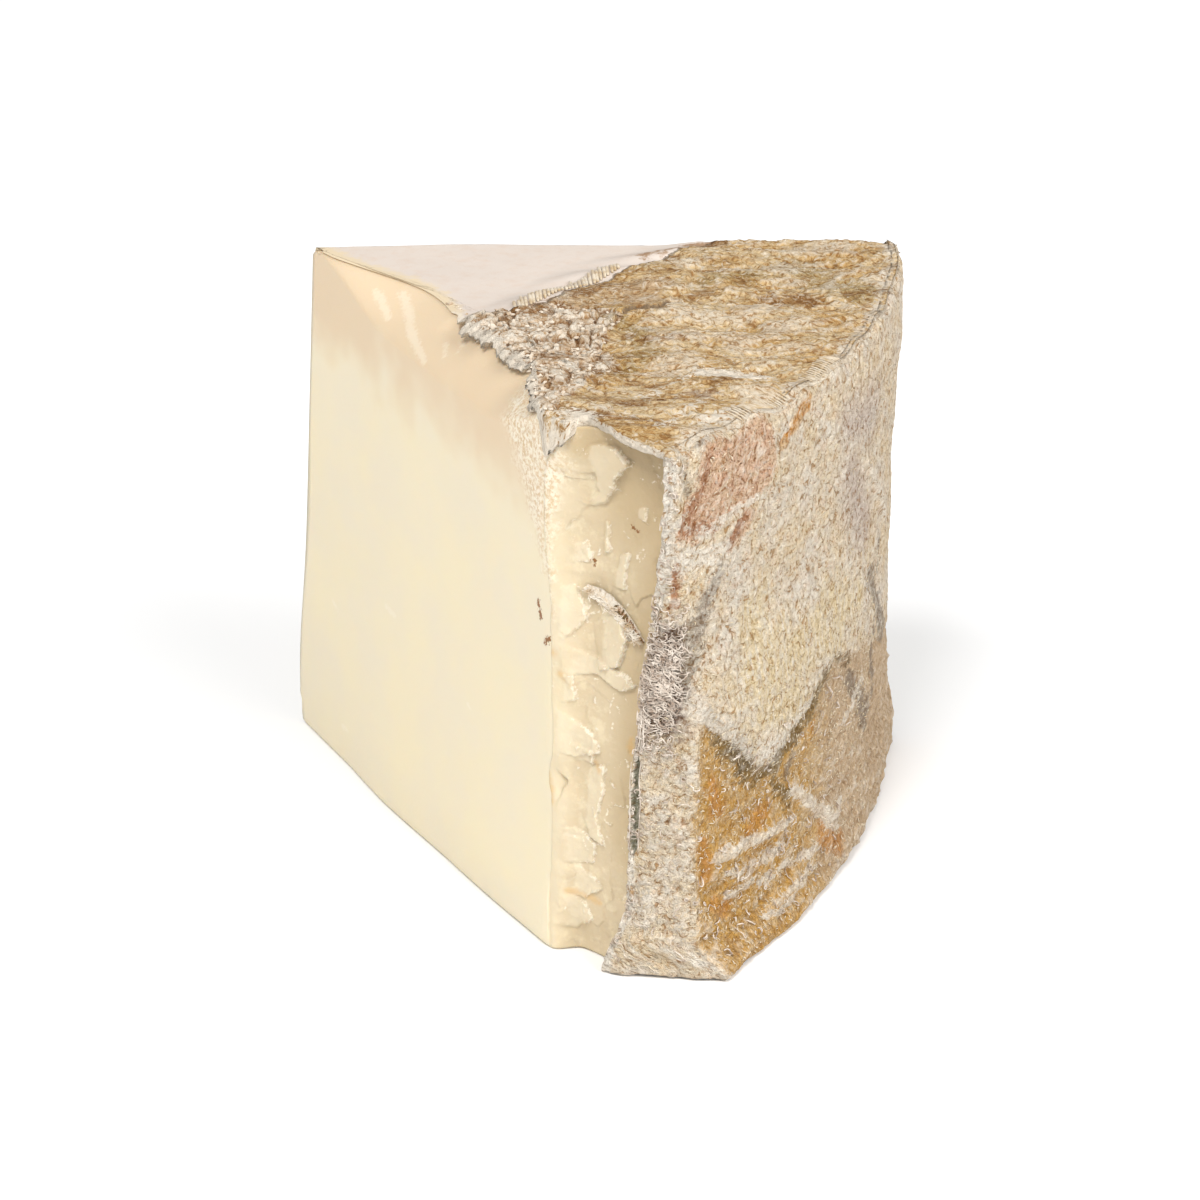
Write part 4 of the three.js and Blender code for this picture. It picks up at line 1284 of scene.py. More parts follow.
class CHEDDAR_OT_paste(bpy.types.Operator):
    """Adds the cut cheese with its smooth face and its broken strip"""

    bl_idname = "cheddar.add_paste"
    bl_label = "Add Paste"

    def execute(self, context):
        settings = context.scene.cheddar_paste
        z = level_heights(settings.level_step / MM, HEIGHT, 12.0)[:, None]
        cut_share = 1.0 - np.linspace(1.0, 0.0, CUT_POINTS)[None, 1:-1] ** 1.3
        break_share = np.linspace(0.0, 1.0, BREAK_POINTS)[None, :]
        under_share = np.linspace(0.0, 1.0, UNDER_POINTS)[None, :]
        back_share = np.linspace(0.0, 1.0, BACK_POINTS)[None, 1:-1]
        along_cut = cut_share * CREASE_REACH
        scratch = strokes(along_cut, z, SCRATCHES)
        dried = inside(along_cut, z, GRAINY_BAND)
        grainy = smoothstep(dried, 0.0, 6.0)
        relief = 0.04 * smoothstep(scratch, -0.4, 0.7)
        relief = relief + 0.2 * grainy * crumble(along_cut / 1.2, z / 1.2, 131, 3)
        relief = relief - crease_rounding(CREASE_REACH - along_cut)
        relief = relief + 0.05 * crumble(along_cut / 7.0, z / 7.0, 133, 3)
        cut_x, cut_y = cut_face(z, cut_share, relief)
        break_x, break_y, edge, face = broken_strip(z, break_share)
        bend_x, bend_y = rind_edge_at(z)[0] + 1.1, break_y[:, -1:] + 1.4
        side_x, side_y = under_side(under_share, z, 1.5)
        back_in = BACK_ROUNDING * rounding(z, BACK_ROUNDING) + 0.5 * foot_rounding(z)
        back_in = back_in - 0.35 * hills(back_share * 5.0, z / 26.0, 61)
        back_x, back_y = back_face(z, back_share, back_in)
        tip_x, tip_y = tip_at(z)
        tip_x = tip_x + TIP_CORNER * rounding(z, 2.2) + 2.4 * (1.0 - smoothstep(z, 0.0, 7.0))
        x = np.hstack([tip_x, cut_x, break_x, bend_x, side_x, back_x])
        y = np.hstack([tip_y, cut_y, break_y, bend_y, side_y, back_y])
        sunk = broad_relief(x, y) - rind_thickness(x, y) + 0.25
        sunk = lerp(evened(sunk, 14), sunk, smoothstep(z, HEIGHT - 5.0, HEIGHT - 1.0))
        heights = z + sunk * smoothstep(z, HEIGHT - RELIEF_DEPTH, HEIGHT)
        points, faces = stack_rings(x, y, heights)
        ragged = 1.5 * crumble(break_share * 9.0, z / 4.0, 135, 3)
        dried_break = 3.0 - break_share * 24.0 - 0.12 * np.abs(z - 104.0) + ragged
        # Painted shade: the broken strip is darkened under the overhanging top rind, under its arch
        # and by the rind's lip, partly as the paste near the rind is darker.
        under_top = smoothstep(break_share, 0.05, 0.75) * smoothstep(z, 70.0, 106.0)
        by_rind = smoothstep(break_share, 0.35, 1.0) * smoothstep(z, 6.0, 30.0)
        under_arch = 0.8 * smoothstep(break_share, 0.03, 0.2) * smoothstep(z, 102.0, 111.0)
        deep_paste_and_shade = 12.0 * np.maximum(np.maximum(under_top, under_arch), 0.8 * by_rind) - 6.0
        by_crease = 0.5 + 0.5 * smoothstep(break_share + 0.06 * ragged, 0.0, 0.36)
        peach = (z - 96.0) * 0.9 + 4.0 * crumble(along_cut / 30.0, z / 30.0, 137, 2)
        masks = {
            "broken": (0.0, 0.5 * grainy, by_crease, 0.0),
            "bloom": (-FAR, scratch, -FAR, -FAR),
            "dried": (-FAR, dried - 1.5, dried_break, -FAR),
            "edge": (-FAR, -FAR, edge, -FAR),
            "face": (-FAR, -FAR, face, -FAR),
            "deep_paste_and_shade": (-FAR, -FAR, deep_paste_and_shade, -FAR),
            "amber": (-FAR, -FAR, strokes(break_x, z, AMBER_HOLLOWS), -FAR),
            "brown": (-FAR, strokes(cut_x, z, BROWN_SPECKS),
                      strokes(break_x, z, BROWN_SPECKS), -FAR),
            "peach": (-2.0, peach, -FAR, z - 104.0),
        }
        widths = (1, cut_share.size, break_share.size, 1 + under_share.size + back_share.size)
        masks = {name: join_columns(parts, z.size, widths).ravel() for name, parts in masks.items()}
        make_piece("cheese_paste", points, faces, cheddar_paste_material(settings),
                   masks)
        return {"FINISHED"}


class CHEDDAR_OT_side_rind(bpy.types.Operator):
    """Adds the cloth-bound rind round the curved side"""

    bl_idname = "cheddar.add_side_rind"
    bl_label = "Add Side Rind"

    def execute(self, context):
        settings = context.scene.cheddar_side_rind
        thick = settings.thickness / MM
        z = np.append(level_heights(0.45, HEIGHT, 6.0), HEIGHT)[:, None]
        strip_t = np.linspace(-1.0, 0.0, STRIP_POINTS)[None, :-1]
        side_t = np.linspace(0.0, 1.0, SIDE_POINTS)[None, :]
        t = np.hstack([strip_t, side_t])
        x, y, crust = side_surface(t, z, settings)
        lip_x, lip_y = rind_edge_at(z)
        lip_in = 0.4 * RIM_RADIUS * rounding(z, RIM_RADIUS) + 0.5 * foot_rounding(z)
        lip_share = np.linspace(0.0, 1.0, LIP_POINTS)[None, :-1]
        frayed = 0.55 * crumble(z / 1.6, 0.0, 141, 4)
        slit = slit_depth(lip_share, z)
        front_x = lip_x + 0.2 + frayed + (x[:, :1] - lip_x - 0.2 - frayed) * lip_share
        front_y = lip_y + lip_in + (y[:, :1] - lip_y - lip_in) * lip_share
        front_y = front_y + 0.9 * smoothstep(slit, -0.1, 0.2)
        lumps = crumble(z / 1.2 + 5.0, lip_share * 2.6, 143, 3)
        whole = (1.0 - smoothstep(slit, -0.1, 0.2)) * (1.0 - smoothstep(lip_share, 0.6, 1.0))
        front_y = front_y - 0.6 * (lumps + 0.4) * whole
        inner_t = np.linspace(1.0, 0.0, INNER_POINTS)[None, :]
        inner_x, inner_y = under_side(inner_t, z, thick)
        base_x = lip_x + 0.25 + 0.5 * frayed
        base_y = lip_y + recess_at(z) + 4.8
        all_x = np.hstack([front_x, x, inner_x, base_x + thick, base_x])
        all_y = np.hstack([front_y, y, inner_y, base_y + 0.6, base_y])
        heights = raised(all_x, all_y, z) - RIM_SINK * smoothstep(z, HEIGHT - 2.0, HEIGHT)
        heights[-1] -= CAP_DROP
        widths = (lip_share.size, t.size, inner_t.size + 2)
        heights[:, -widths[2]:] -= CAP_DROP * smoothstep(z, HEIGHT - 6.0, HEIGHT)
        points, faces = stack_rings(all_x, all_y, heights)
        run = run_of(t, z)
        lip_run = run[:, :1] - LIP_WIDTH * (1.0 - lip_share)
        all_run = join_columns((lip_run, run, lip_run[:, :1] - 1.5), z.size, widths)
        all_z = np.broadcast_to(z, all_run.shape)
        bent_run = all_run + 1.3 * crumble(all_run / 8.0, z / 8.0, 181, 3)
        bent_z = z + 1.3 * crumble(all_run / 8.0, z / 8.0, 185, 3)
        masks = {name: strokes(bent_run, bent_z, marks) for name, marks in SIDE_STAINS.items()}
        masks["slit"] = join_columns((slit, -FAR, -FAR), z.size, widths)
        masks["ochre"] = ochre_edge(all_run, z)
        masks["right"] = all_run - 46.0
        worn = 1.8 * smoothstep(z, 74.0, 84.0) + 1.0 * (1.0 - smoothstep(z, 46.0, 54.0)) - 0.6
        masks["lip"] = worn - 1.1 * np.maximum(all_run + strip_length(z) + 1.1, 0.0)
        masks["pleat"] = 3.0 * pleat_height(all_run / SIDE_LENGTH, z) - 2.4
        crust = crust - 0.2 * smoothstep(ochre_edge(run, z), 0.0, 2.0)
        masks["crust"] = join_columns((0.3 * lumps, crust, 0.0), z.size, widths)
        masks = {name: values.ravel() for name, values in masks.items()}
        masks["run"] = np.stack([all_run, all_z, 0.0 * all_z], axis=-1).reshape(-1, 3) * MM
        make_piece("side_rind", points, faces, side_rind_material(settings), masks)
        return {"FINISHED"}


def top_outline(count, settings):
    """The rim of the top from the crease round to the heel: x, y and the place, which
    runs from -3 to -2 over the broken strip and then as it does on the side rind."""
    share = np.linspace(0.0, 1.0, OVER_POINTS)
    start_x, start_y = crease_at(HEIGHT)
    edge_x, edge_y = rind_edge_at(HEIGHT)
    notch = 4.0 * bell(share, 0.28, 0.2)
    t = np.linspace(-1.0, 1.0, ROUND_POINTS)
    side_x, side_y, _ = side_surface(t, HEIGHT, settings)
    x = np.concatenate([lerp(start_x, edge_x, share), side_x])
    y = np.concatenate([lerp(start_y, edge_y, share) + notch, side_y])
    run = np.concatenate([[0.0], np.cumsum(np.hypot(np.diff(x), np.diff(y)))])
    even = np.linspace(0.0, run[-1], count)
    places = np.concatenate([share - 3.0, t])
    return np.interp(even, run, x), np.interp(even, run, y), np.interp(even, run, places)


def top_patch(rows, settings):
    """Points of the top: row i has i + 1 of them, from the tip to the rim."""
    rim_x, rim_y, rim_t = top_outline(rows + 1, settings)
    share = np.linspace(0.0, 1.0, rows + 1)
    way = np.linspace(0.0, 1.0, TOP_EDGE_POINTS)
    cut_x, cut_y = cut_face(HEIGHT, lerp(TOP_CUT_START, 1.0, way))
    back_x, back_y = back_face(HEIGHT, 1.0 - way, BACK_ROUNDING)
    cut_x[-1], cut_y[-1] = rim_x[0], rim_y[0]
    back_x[-1], back_y[-1] = rim_x[-1], rim_y[-1]
    tip_x, tip_y = tip_at(HEIGHT)
    corner = (tip_x + TIP_CORNER, tip_y)
    cut_x[0], cut_y[0] = corner
    back_x[0], back_y[0] = corner
    edges = ((corner[0], rim_x, cut_x, back_x), (corner[1], rim_y, cut_y, back_y))
    xs, ys = [], []
    for i in range(rows + 1):
        r = i / rows
        s = np.linspace(0.0, 1.0, i + 1) if i else np.zeros(1)
        parts = []
        for tip, rim, cut, rear in edges:
            spread = tip + r * (np.interp(s, share, rim) - tip)
            near = np.interp(r, way, cut) - (tip + r * (rim[0] - tip))
            far = np.interp(r, way, rear) - (tip + r * (rim[-1] - tip))
            parts.append(spread + (1.0 - s) * near + s * far)
        xs.append(parts[0])
        ys.append(parts[1])
    return np.concatenate(xs), np.concatenate(ys), rim_t


def patch_faces(rows):
    """Triangles of a patch whose row i has i + 1 points."""
    faces = []
    for i in range(rows):
        low = i * (i + 1) // 2
        high = (i + 1) * (i + 2) // 2
        for j in range(i + 1):
            faces.append((low + j, high + j, high + j + 1))
            if j < i:
                faces.append((low + j, high + j + 1, low + j + 1))
    return faces


def patch_border(rows):
    """The patch's border, anticlockwise: cut edge out, rim round, back edge home."""
    start = [i * (i + 1) // 2 for i in range(rows + 1)]
    out = start[:-1]
    rim = [start[-1] + j for j in range(rows + 1)]
    home = [start[i] + i for i in range(rows - 1, 0, -1)]
    return out + rim + home, len(out), len(rim)


def top_skirt(x, y, t, base, by_cut, on_rim, side):
    """What hangs from the top's border: a fringe over the cut face, a torn curtain over
    the pocket and a rolled rim round the side. Gives back its rings of points, each
    with its share of the way down, and how pale each place of the border is."""
    dx = np.roll(x, -1) - np.roll(x, 1)
    dy = np.roll(y, -1) - np.roll(y, 1)
    place = np.arange(x.size)
    by_arc = t >= -1.0
    by_break = on_rim & (t < -1.9)
    way_break = np.clip(t + 3.0, 0.0, 1.0)
    arch = np.where(by_break, ARCH_DROP * (1.0 - smoothstep(way_break, 0.0, ARCH_WIDTH)), 0.0)
    ragged = crumble(place / 11.0, 0.0, 151, 4)
    thick = rind_thickness(x, y)
    along_cut = place / np.count_nonzero(by_cut)
    share_cut = np.clip(lerp(TOP_CUT_START, 1.0, along_cut), 0.0, 1.0)
    onward = smoothstep(share_cut, 0.36, 0.55)
    # How far the ragged fringe hangs over the cut face, more so by the pocket.
    fringe = 0.3 + onward * (1.5 + 1.6 * ragged)
    fringe = np.maximum(fringe + 1.5 * smoothstep(share_cut, 0.86, 0.97) * (1.0 + ragged), 0.2)
    by_pocket = (ARCH_DROP - 1.5) * smoothstep(share_cut, 0.95, 1.0)
    fringe = fringe + by_pocket * (1.0 + 0.6 * ragged)
    rings = []
    for share in np.linspace(1.0 / RIM_RINGS, 1.0, RIM_RINGS):
        lumps = crumble(place / 3.0, share * 5.0, 153, 3)
        turn = share * (0.8 + 0.45 * ragged)
        level = HEIGHT - RIM_RADIUS * (1.0 - np.cos(turn))
        arc_x, arc_y, _ = side_surface(np.maximum(t, -1.0), level, side)
        apart = (-0.14 - 0.2 * lumps * share) * (1.0 - 0.8 * share)
        arc_x, arc_y = inward(arc_x, arc_y, dx, dy, apart)
        settled = RIM_SINK * (1.0 - share - smoothstep(level, HEIGHT - 2.0, HEIGHT))
        arc_z = raised(arc_x, arc_y, level) + settled
        edge_x, edge_y = inward(x, y, dx, dy, -0.35 * np.sin(np.pi * share) - 0.25 * lumps)
        edge_z = base - (thick + arch * (1.0 + 0.6 * ragged)) * share
        line_x, line_y = break_line(edge_z, way_break, -0.3 - 0.6 * lumps)
        forward = smoothstep(arch, 0.0, 2.5)
        edge_x, edge_y = lerp(edge_x, line_x, forward), lerp(edge_y, line_y, forward)
        rough = 0.22 * lumps * onward
        proud = lerp(0.02, 0.3 + 0.3 * (1.0 - share), onward) + rough
        hang_x, hang_y = cut_face(HEIGHT - fringe * share, share_cut, proud)
        hang_z = base - fringe * share
        rx = np.where(by_cut, hang_x, np.where(by_arc, arc_x, edge_x))
        ry = np.where(by_cut, hang_y, np.where(by_arc, arc_y, edge_y))
        rz = np.where(by_cut, hang_z, np.where(by_arc, arc_z, edge_z))
        rings.append((rx, ry, rz, share))
    last_x, last_y, last_z, _ = rings[-1]
    tuck_x, tuck_y = inward(last_x, last_y, dx, dy, np.where(by_arc | by_cut, 0.9, 1.6))
    under_z = HEIGHT + broad_relief(x, y) - thick - 0.1
    tuck_z = np.where(by_arc, last_z - 0.2, np.where(by_cut, last_z, under_z))
    rings.append((tuck_x, tuck_y, tuck_z, 1.0))
    by_arch = 1.0 - 0.6 * smoothstep(arch, 0.5, 3.0)
    return rings, np.where(by_break, by_arch, np.where(by_cut, onward, 0.0))


def down_the_rim(inner, ring, count):
    """A value for each point of the top: its patch, each ring of its rim and its crown."""
    return np.concatenate([inner, *[ring] * count, [0.0]])


class CHEDDAR_OT_top_rind(bpy.types.Operator):
    """Adds the crumpled rind on top"""

    bl_idname = "cheddar.add_top_rind"
    bl_label = "Add Top Rind"

    def execute(self, context):
        settings = context.scene.cheddar_top_rind
        side = context.scene.cheddar_side_rind
        rows = settings.rows
        x, y, rim_t = top_patch(rows, side)
        relief, cracks, crust = fine_relief(x, y, settings.wrinkle_height / MM)
        broad = broad_relief(x, y)
        border, out_count, rim_count = patch_border(rows)
        faces = patch_faces(rows)
        order = np.array(border)
        bx, by = x[order], y[order]
        place = np.arange(order.size)
        by_cut = place < out_count
        on_rim = ~by_cut & (place < out_count + rim_count)
        t = np.full(order.size, -3.0)
        t[on_rim] = rim_t
        by_arc = t >= -1.0
        arc_gap = nearest_gap(x, y, bx[by_arc], by[by_arc])
        relief = relief * lerp(0.1, 1.0, smoothstep(arc_gap, 0.0, 3.0))
        base = HEIGHT + broad[order] + relief[order]
        rings, pale = top_skirt(bx, by, t, base, by_cut, on_rim, side)
        points = [metres(x, y, HEIGHT + broad + relief)]
        total = x.size
        last = order
        for rx, ry, rz, _ in rings:
            points.append(metres(rx, ry, rz))
            here = np.arange(total, total + order.size)
            quads = np.stack([last, here, np.roll(here, -1), np.roll(last, -1)], axis=-1)
            faces.extend(map(tuple, quads.tolist()))
            last = here
            total += order.size
        points.append(metres(*CROWN, HEIGHT + broad_relief(*CROWN) - 4.5))
        after = np.roll(last, -1)
        faces.extend((int(a), int(total), int(b)) for a, b in zip(last, after))
        all_x = np.concatenate([x] + [ring[0] for ring in rings] + [[CROWN[0]]])
        all_y = np.concatenate([y] + [ring[1] for ring in rings] + [[CROWN[1]]])
        shares = [np.full(order.size, ring[3]) for ring in rings]
        drop = np.concatenate([0.0 * x, *shares, [1.0]])
        skirted = down_the_rim(0.0 * x, pale, len(rings))
        over_rim = down_the_rim(0.0 * x, by_arc, len(rings))
        masks = {name: strokes(all_x, all_y, marks) for name, marks in TOP_STAINS.items()}
        fringed = np.where(skirted > 0.2, 3.0 * skirted * drop, -FAR)
        masks["chalk"] = np.maximum(masks["chalk"], fringed)
        masks["cloth"] = all_x - seam_x(all_y) - 3.0
        crumbly = crumbly_zone(all_x, all_y)
        # Painted shadow: a dark line just outside the raised flap's edge.
        clear = (all_x > seam_x(all_y) + 5.0) & (all_y < 4.0) & (crumbly < 0.5)
        masks["flap_shadow_line"] = np.where(clear, 0.5 - np.abs(flap_edge(all_x, all_y) + 0.25), -FAR)
        masks["crumbly"] = crumbly * 12.0 - 8.0
        cracked = np.full(all_x.size, -FAR)
        cracked[:x.size] = np.where(cracks > 0.0, cracks * 3.0 - 2.0, -FAR)
        masks["umber"] = np.maximum(masks["umber"], cracked)
        masks["crust"] = down_the_rim(crust, crust[order], len(rings))
        edge_share, edge_depth = cut_distance(all_x, all_y)
        by_tip = 1.0 - smoothstep(edge_share, 0.34, 0.46)
        masks["paste"] = np.where(by_tip > 0.0, 2.4 * by_tip - np.maximum(edge_depth, 0.0), -FAR)
        rim_gap = nearest_gap(all_x, all_y, bx[by_arc], by[by_arc])
        masks["rim"] = np.where(over_rim > 0.5, 1.2, 1.0 - rim_gap)
        along, across = turned(all_x, all_y, math.radians(FOLD_DEGREES))
        masks["run"] = np.stack([along, across, 2.0 * drop], axis=-1) * MM
        make_piece("top_rind", np.concatenate(points), faces,
                   top_rind_material(settings), masks)
        return {"FINISHED"}


def tube(path, radius, sides):
    """Points and faces of a round thread along a path, closed at both ends."""
    path = np.asarray(path, dtype=float)
    ahead = np.gradient(path, axis=0)
    ahead = ahead / (np.linalg.norm(ahead, axis=1, keepdims=True) + 1e-12)
    beside = np.cross(ahead, (0.31, 0.27, 0.91))
    beside = beside / (np.linalg.norm(beside, axis=1, keepdims=True) + 1e-12)
    above = np.cross(ahead, beside)
    turn = np.linspace(0.0, 2.0 * np.pi, sides, endpoint=False)
    girth = radius * np.clip(np.sin(np.linspace(0.25, np.pi - 0.25, len(path))) * 2.0, 0.0, 1.0)
    cosine, sine = np.cos(turn)[None, :, None], np.sin(turn)[None, :, None]
    ring = path[:, None] + girth[:, None, None] * (cosine * beside[:, None] + sine * above[:, None])
    return ring.reshape(-1, 3), closed_tube(len(path), sides)


def join_shapes(shapes):
    """One list of points and faces from many."""
    points, faces, total = [], [], 0
    for shape_points, shape_faces in shapes:
        points.append(shape_points)
        faces.extend(tuple(corner + total for corner in face) for face in shape_faces)
        total += len(shape_points)
    return np.concatenate(points), faces


def on_side(t, z, settings):
    """Places on the side rind's relief, and the way onward from each: x, y, dx, dy."""
    x, y, _ = side_surface(t, z, settings)
    near_x, near_y, _ = side_surface(t + 0.004, z, settings)
    return x, y, near_x - x, near_y - y


def on_rind(run, z, lift, settings):
    """Places on the rind's outside or its cut edge, raised by a lift in millimetres."""
    x, y, dx, dy = on_side(t_of(run, z), z, settings)
    over = np.clip(-run - strip_length(z), 0.0, LIP_WIDTH)
    x, y = inward(x - over, y - 0.15 * over, dx, dy, -lift)
    return metres(x, y, raised(x, y, z))


class CHEDDAR_OT_threads(bpy.types.Operator):
    """Adds loose cloth threads along the rind's cut edge and on the side"""

    bl_idname = "cheddar.add_threads"
    bl_label = "Add Threads"

    def execute(self, context):
        settings = context.scene.cheddar_threads
        rind = context.scene.cheddar_side_rind
        draw = np.random.default_rng(7)
        count, steps = settings.count, THREAD_STEPS
        kind = np.arange(count) % 12
        z = np.where(kind < 9, np.clip(draw.normal(66.0, 6.5, count), 50.0, 82.0),
                     draw.uniform(2.0, 112.0, count))
        spread = np.where(kind < 9, draw.uniform(0.0, 7.0, count), draw.uniform(0.0, 2.4, count))
        low = kind > 9
        spread = np.where(low, draw.uniform(6.0, 80.0, count), spread)
        z = np.where(low, draw.uniform(2.0, 46.0, count), z)
        run = spread - strip_length(z) - 2.0
        heading = draw.uniform(0.0, 2.0 * math.pi, count)
        curl = draw.normal(0.0, 0.5, count)
        stride = draw.uniform(0.12, 0.3, count)
        runs, levels = [run], [z]
        for _ in range(steps - 1):
            heading = heading + curl + draw.normal(0.0, 0.35, count)
            runs.append(runs[-1] + stride * np.cos(heading))
            levels.append(np.clip(levels[-1] + stride * np.sin(heading), 0.6, HEIGHT - 2.0))
        runs, levels = np.stack(runs, axis=1), np.stack(levels, axis=1)
        way = np.linspace(0.0, 1.0, steps)
        for (start, end), foot, head in STRANDS:
            level = lerp(foot, head, way)
            place = lerp(start, end, way) + 0.25 * crumble(level / 3.0, start, 171, 2)
            runs = np.vstack([runs, place - strip_length(level)])
            levels = np.vstack([levels, level])
        total = runs.shape[0]
        arch = np.sin(np.linspace(0.0, math.pi, steps))[None, :]
        lift = 0.08 + arch * draw.uniform(0.1, 0.9, (total, 1))
        paths = on_rind(runs, levels, lift, rind).reshape(total, steps, 3)
        girths = settings.radius * draw.uniform(0.7, 1.2, total)
        points, faces = join_shapes([tube(path, girth, 5) for path, girth in zip(paths, girths)])
        make_piece("cloth_threads", points, faces,
                   thread_material("cotton_thread", settings.cotton, settings.soiled))
        return {"FINISHED"}


def top_height(x, y, wrinkle_height):
    """Height of the top rind's surface, in millimetres."""
    return HEIGHT + broad_relief(x, y) + fine_relief(x, y, wrinkle_height)[0]


class CHEDDAR_OT_stitches(bpy.types.Operator):
    """Adds the short cloth ridges along the seam on top and along the rim"""

    bl_idname = "cheddar.add_stitches"
    bl_label = "Add Stitches"

    def execute(self, context):
        wrinkle = context.scene.cheddar_top_rind.wrinkle_height / MM
        rind = context.scene.cheddar_side_rind
        draw = np.random.default_rng(11)
        share = np.linspace(0.0, 1.0, 9)
        shapes = []
        for k in range(SEAM_RIDGES):
            way = (k + draw.uniform(-0.15, 0.15)) / (SEAM_RIDGES - 1)
            y = lerp(SEAM_START[1], SEAM_END[1], way)
            x = seam_x(y) + 1.4
            long = draw.uniform(0.75, 1.1)
            px = x - share * STITCH_LEAN[0] * long
            py = y + share * STITCH_LEAN[1] * long
            pz = top_height(px, py, wrinkle) + 0.26
            shapes.append(tube(metres(px, py, pz), SEAM_RIDGE_RADIUS * MM, 6))
        for first, last, reach in RIM_RIDGES:
            for run in np.arange(first, last, 0.8):
                t = np.full(share.shape, (run + draw.uniform(-0.1, 0.1)) / SIDE_LENGTH)
                level = HEIGHT - RIM_RADIUS * np.clip(0.25 - share, 0.0, 1.0)
                inset = reach * draw.uniform(0.7, 1.1) * np.clip(share - 0.2, 0.0, 1.0)
                px, py = inward(*on_side(t, level, rind), inset)
                pz = HEIGHT + broad_relief(px, py) + 0.25 - 1.1 * np.clip(0.35 - share, 0.0, 1.0)
                shapes.append(tube(metres(px, py, pz), RIM_RIDGE_RADIUS * MM, 6))
        points, faces = join_shapes(shapes)
        make_piece("seam_ridges", points, faces,
                   thread_material("seam_thread", srgb("#D0C3AE"), srgb("#B39A74")))
        return {"FINISHED"}


def pebble(centre, size, draw):
    """A flat, rough little crumb: a squashed and dented six-sided ball."""
    turn = np.linspace(0.0, 2.0 * np.pi, 6, endpoint=False)
    rows = []
    for height, width in ((-0.3, 0.6), (0.0, 1.0), (0.3, 0.65)):
        wide = width * draw.uniform(0.6, 1.25, 6)
        rows.append(np.stack([wide * np.cos(turn), wide * np.sin(turn),
                              height + draw.uniform(-0.12, 0.12, 6)], axis=-1))
    body = np.concatenate([*rows, [[0.0, 0.0, -0.4]], [[0.0, 0.0, 0.42]]]) * size
    tilt = Matrix.Rotation(draw.normal(0.0, 0.8), 3, Vector(draw.normal(size=3)))
    points = body @ np.array(tilt).T + centre
    faces = ring_faces(3, 6)
    faces += [((j + 1) % 6, j, 18) for j in range(6)]
    faces += [(12 + j, 12 + (j + 1) % 6, 19) for j in range(6)]
    return points, faces


class CHEDDAR_OT_crumbs(bpy.types.Operator):
    """Adds crumbs on the broken corner of the top rind and along the crease"""

    bl_idname = "cheddar.add_crumbs"
    bl_label = "Add Crumbs"

    def execute(self, context):
        settings = context.scene.cheddar_threads
        wrinkle = context.scene.cheddar_top_rind.wrinkle_height / MM
        draw = np.random.default_rng(23)
        count = settings.crumbs
        x, y = draw.uniform(62.0, 104.0, count), draw.uniform(-62.0, -8.0, count)
        way = np.clip((x - 1.0) / 100.0, 0.0, 1.0)
        edge_y = cut_face(HEIGHT, way)[1]
        kept = (crumbly_zone(x, y) > 0.5) & (y > edge_y + 0.6)
        z = top_height(x, y, wrinkle) + 0.1
        way = draw.uniform(0.38, 1.0, count // 3)
        along_x, along_y = cut_face(HEIGHT, way)
        along_x = along_x + draw.normal(0.0, 0.4, way.size)
        along_y = along_y + draw.uniform(-0.2, 0.9, way.size)
        along_z = HEIGHT + broad_relief(along_x, along_y) + draw.uniform(-1.4, 0.4, way.size)
        places = np.concatenate([
            metres(x[kept], y[kept], z[kept]), metres(along_x, along_y, along_z)])
        shapes = []
        for place in places:
            size = settings.crumb_size * draw.uniform(0.25, 1.0) ** 1.5
            shapes.append(pebble(place, size, draw))
        points, faces = join_shapes(shapes)
        make_piece("rind_crumbs", points, faces,
                   thread_material("rind_crumb", srgb("#D9CCBA"), srgb("#A98F70")), smooth=False)
        return {"FINISHED"}


class CHEDDAR_OT_tufts(bpy.types.Operator):
    """Adds the chalky tufts that stand on the side rind"""

    bl_idname = "cheddar.add_tufts"
    bl_label = "Add Tufts"

    def execute(self, context):
        settings = context.scene.cheddar_threads
        rind = context.scene.cheddar_side_rind
        draw = np.random.default_rng(41)
        count = settings.tufts
        z = np.where(np.arange(count) % 5, draw.uniform(1.0, 54.0, count),
                     draw.uniform(54.0, 111.0, count))
        run = draw.uniform(0.0, 1.0, count) ** 1.3 * 100.0 - strip_length(z)
        size = draw.uniform(0.35, 1.0, (count, 1))
        way = np.linspace(0.0, 1.0, TUFT_STEPS)[None, :]
        heading = draw.normal(0.5 * math.pi, 0.8, (count, 1))
        heading = heading + draw.normal(0.0, 1.2, (count, 1)) * way
        runs = run[:, None] + size * way * np.cos(heading)
        levels = np.clip(z[:, None] + size * way * np.sin(heading), 0.6, HEIGHT - 2.0)
        lift = 0.05 + 0.4 * size * np.sin(2.4 * way)
        paths = on_rind(runs, levels, lift, rind).reshape(count, TUFT_STEPS, 3)
        shapes = [tube(path, 0.1 * MM * draw.uniform(0.5, 1.2), 4) for path in paths]
        points, faces = join_shapes(shapes)
        make_piece("rind_tufts", points, faces,
                   thread_material("chalk_tuft", srgb("#DFD2B9"), srgb("#C8B28C")))
        return {"FINISHED"}


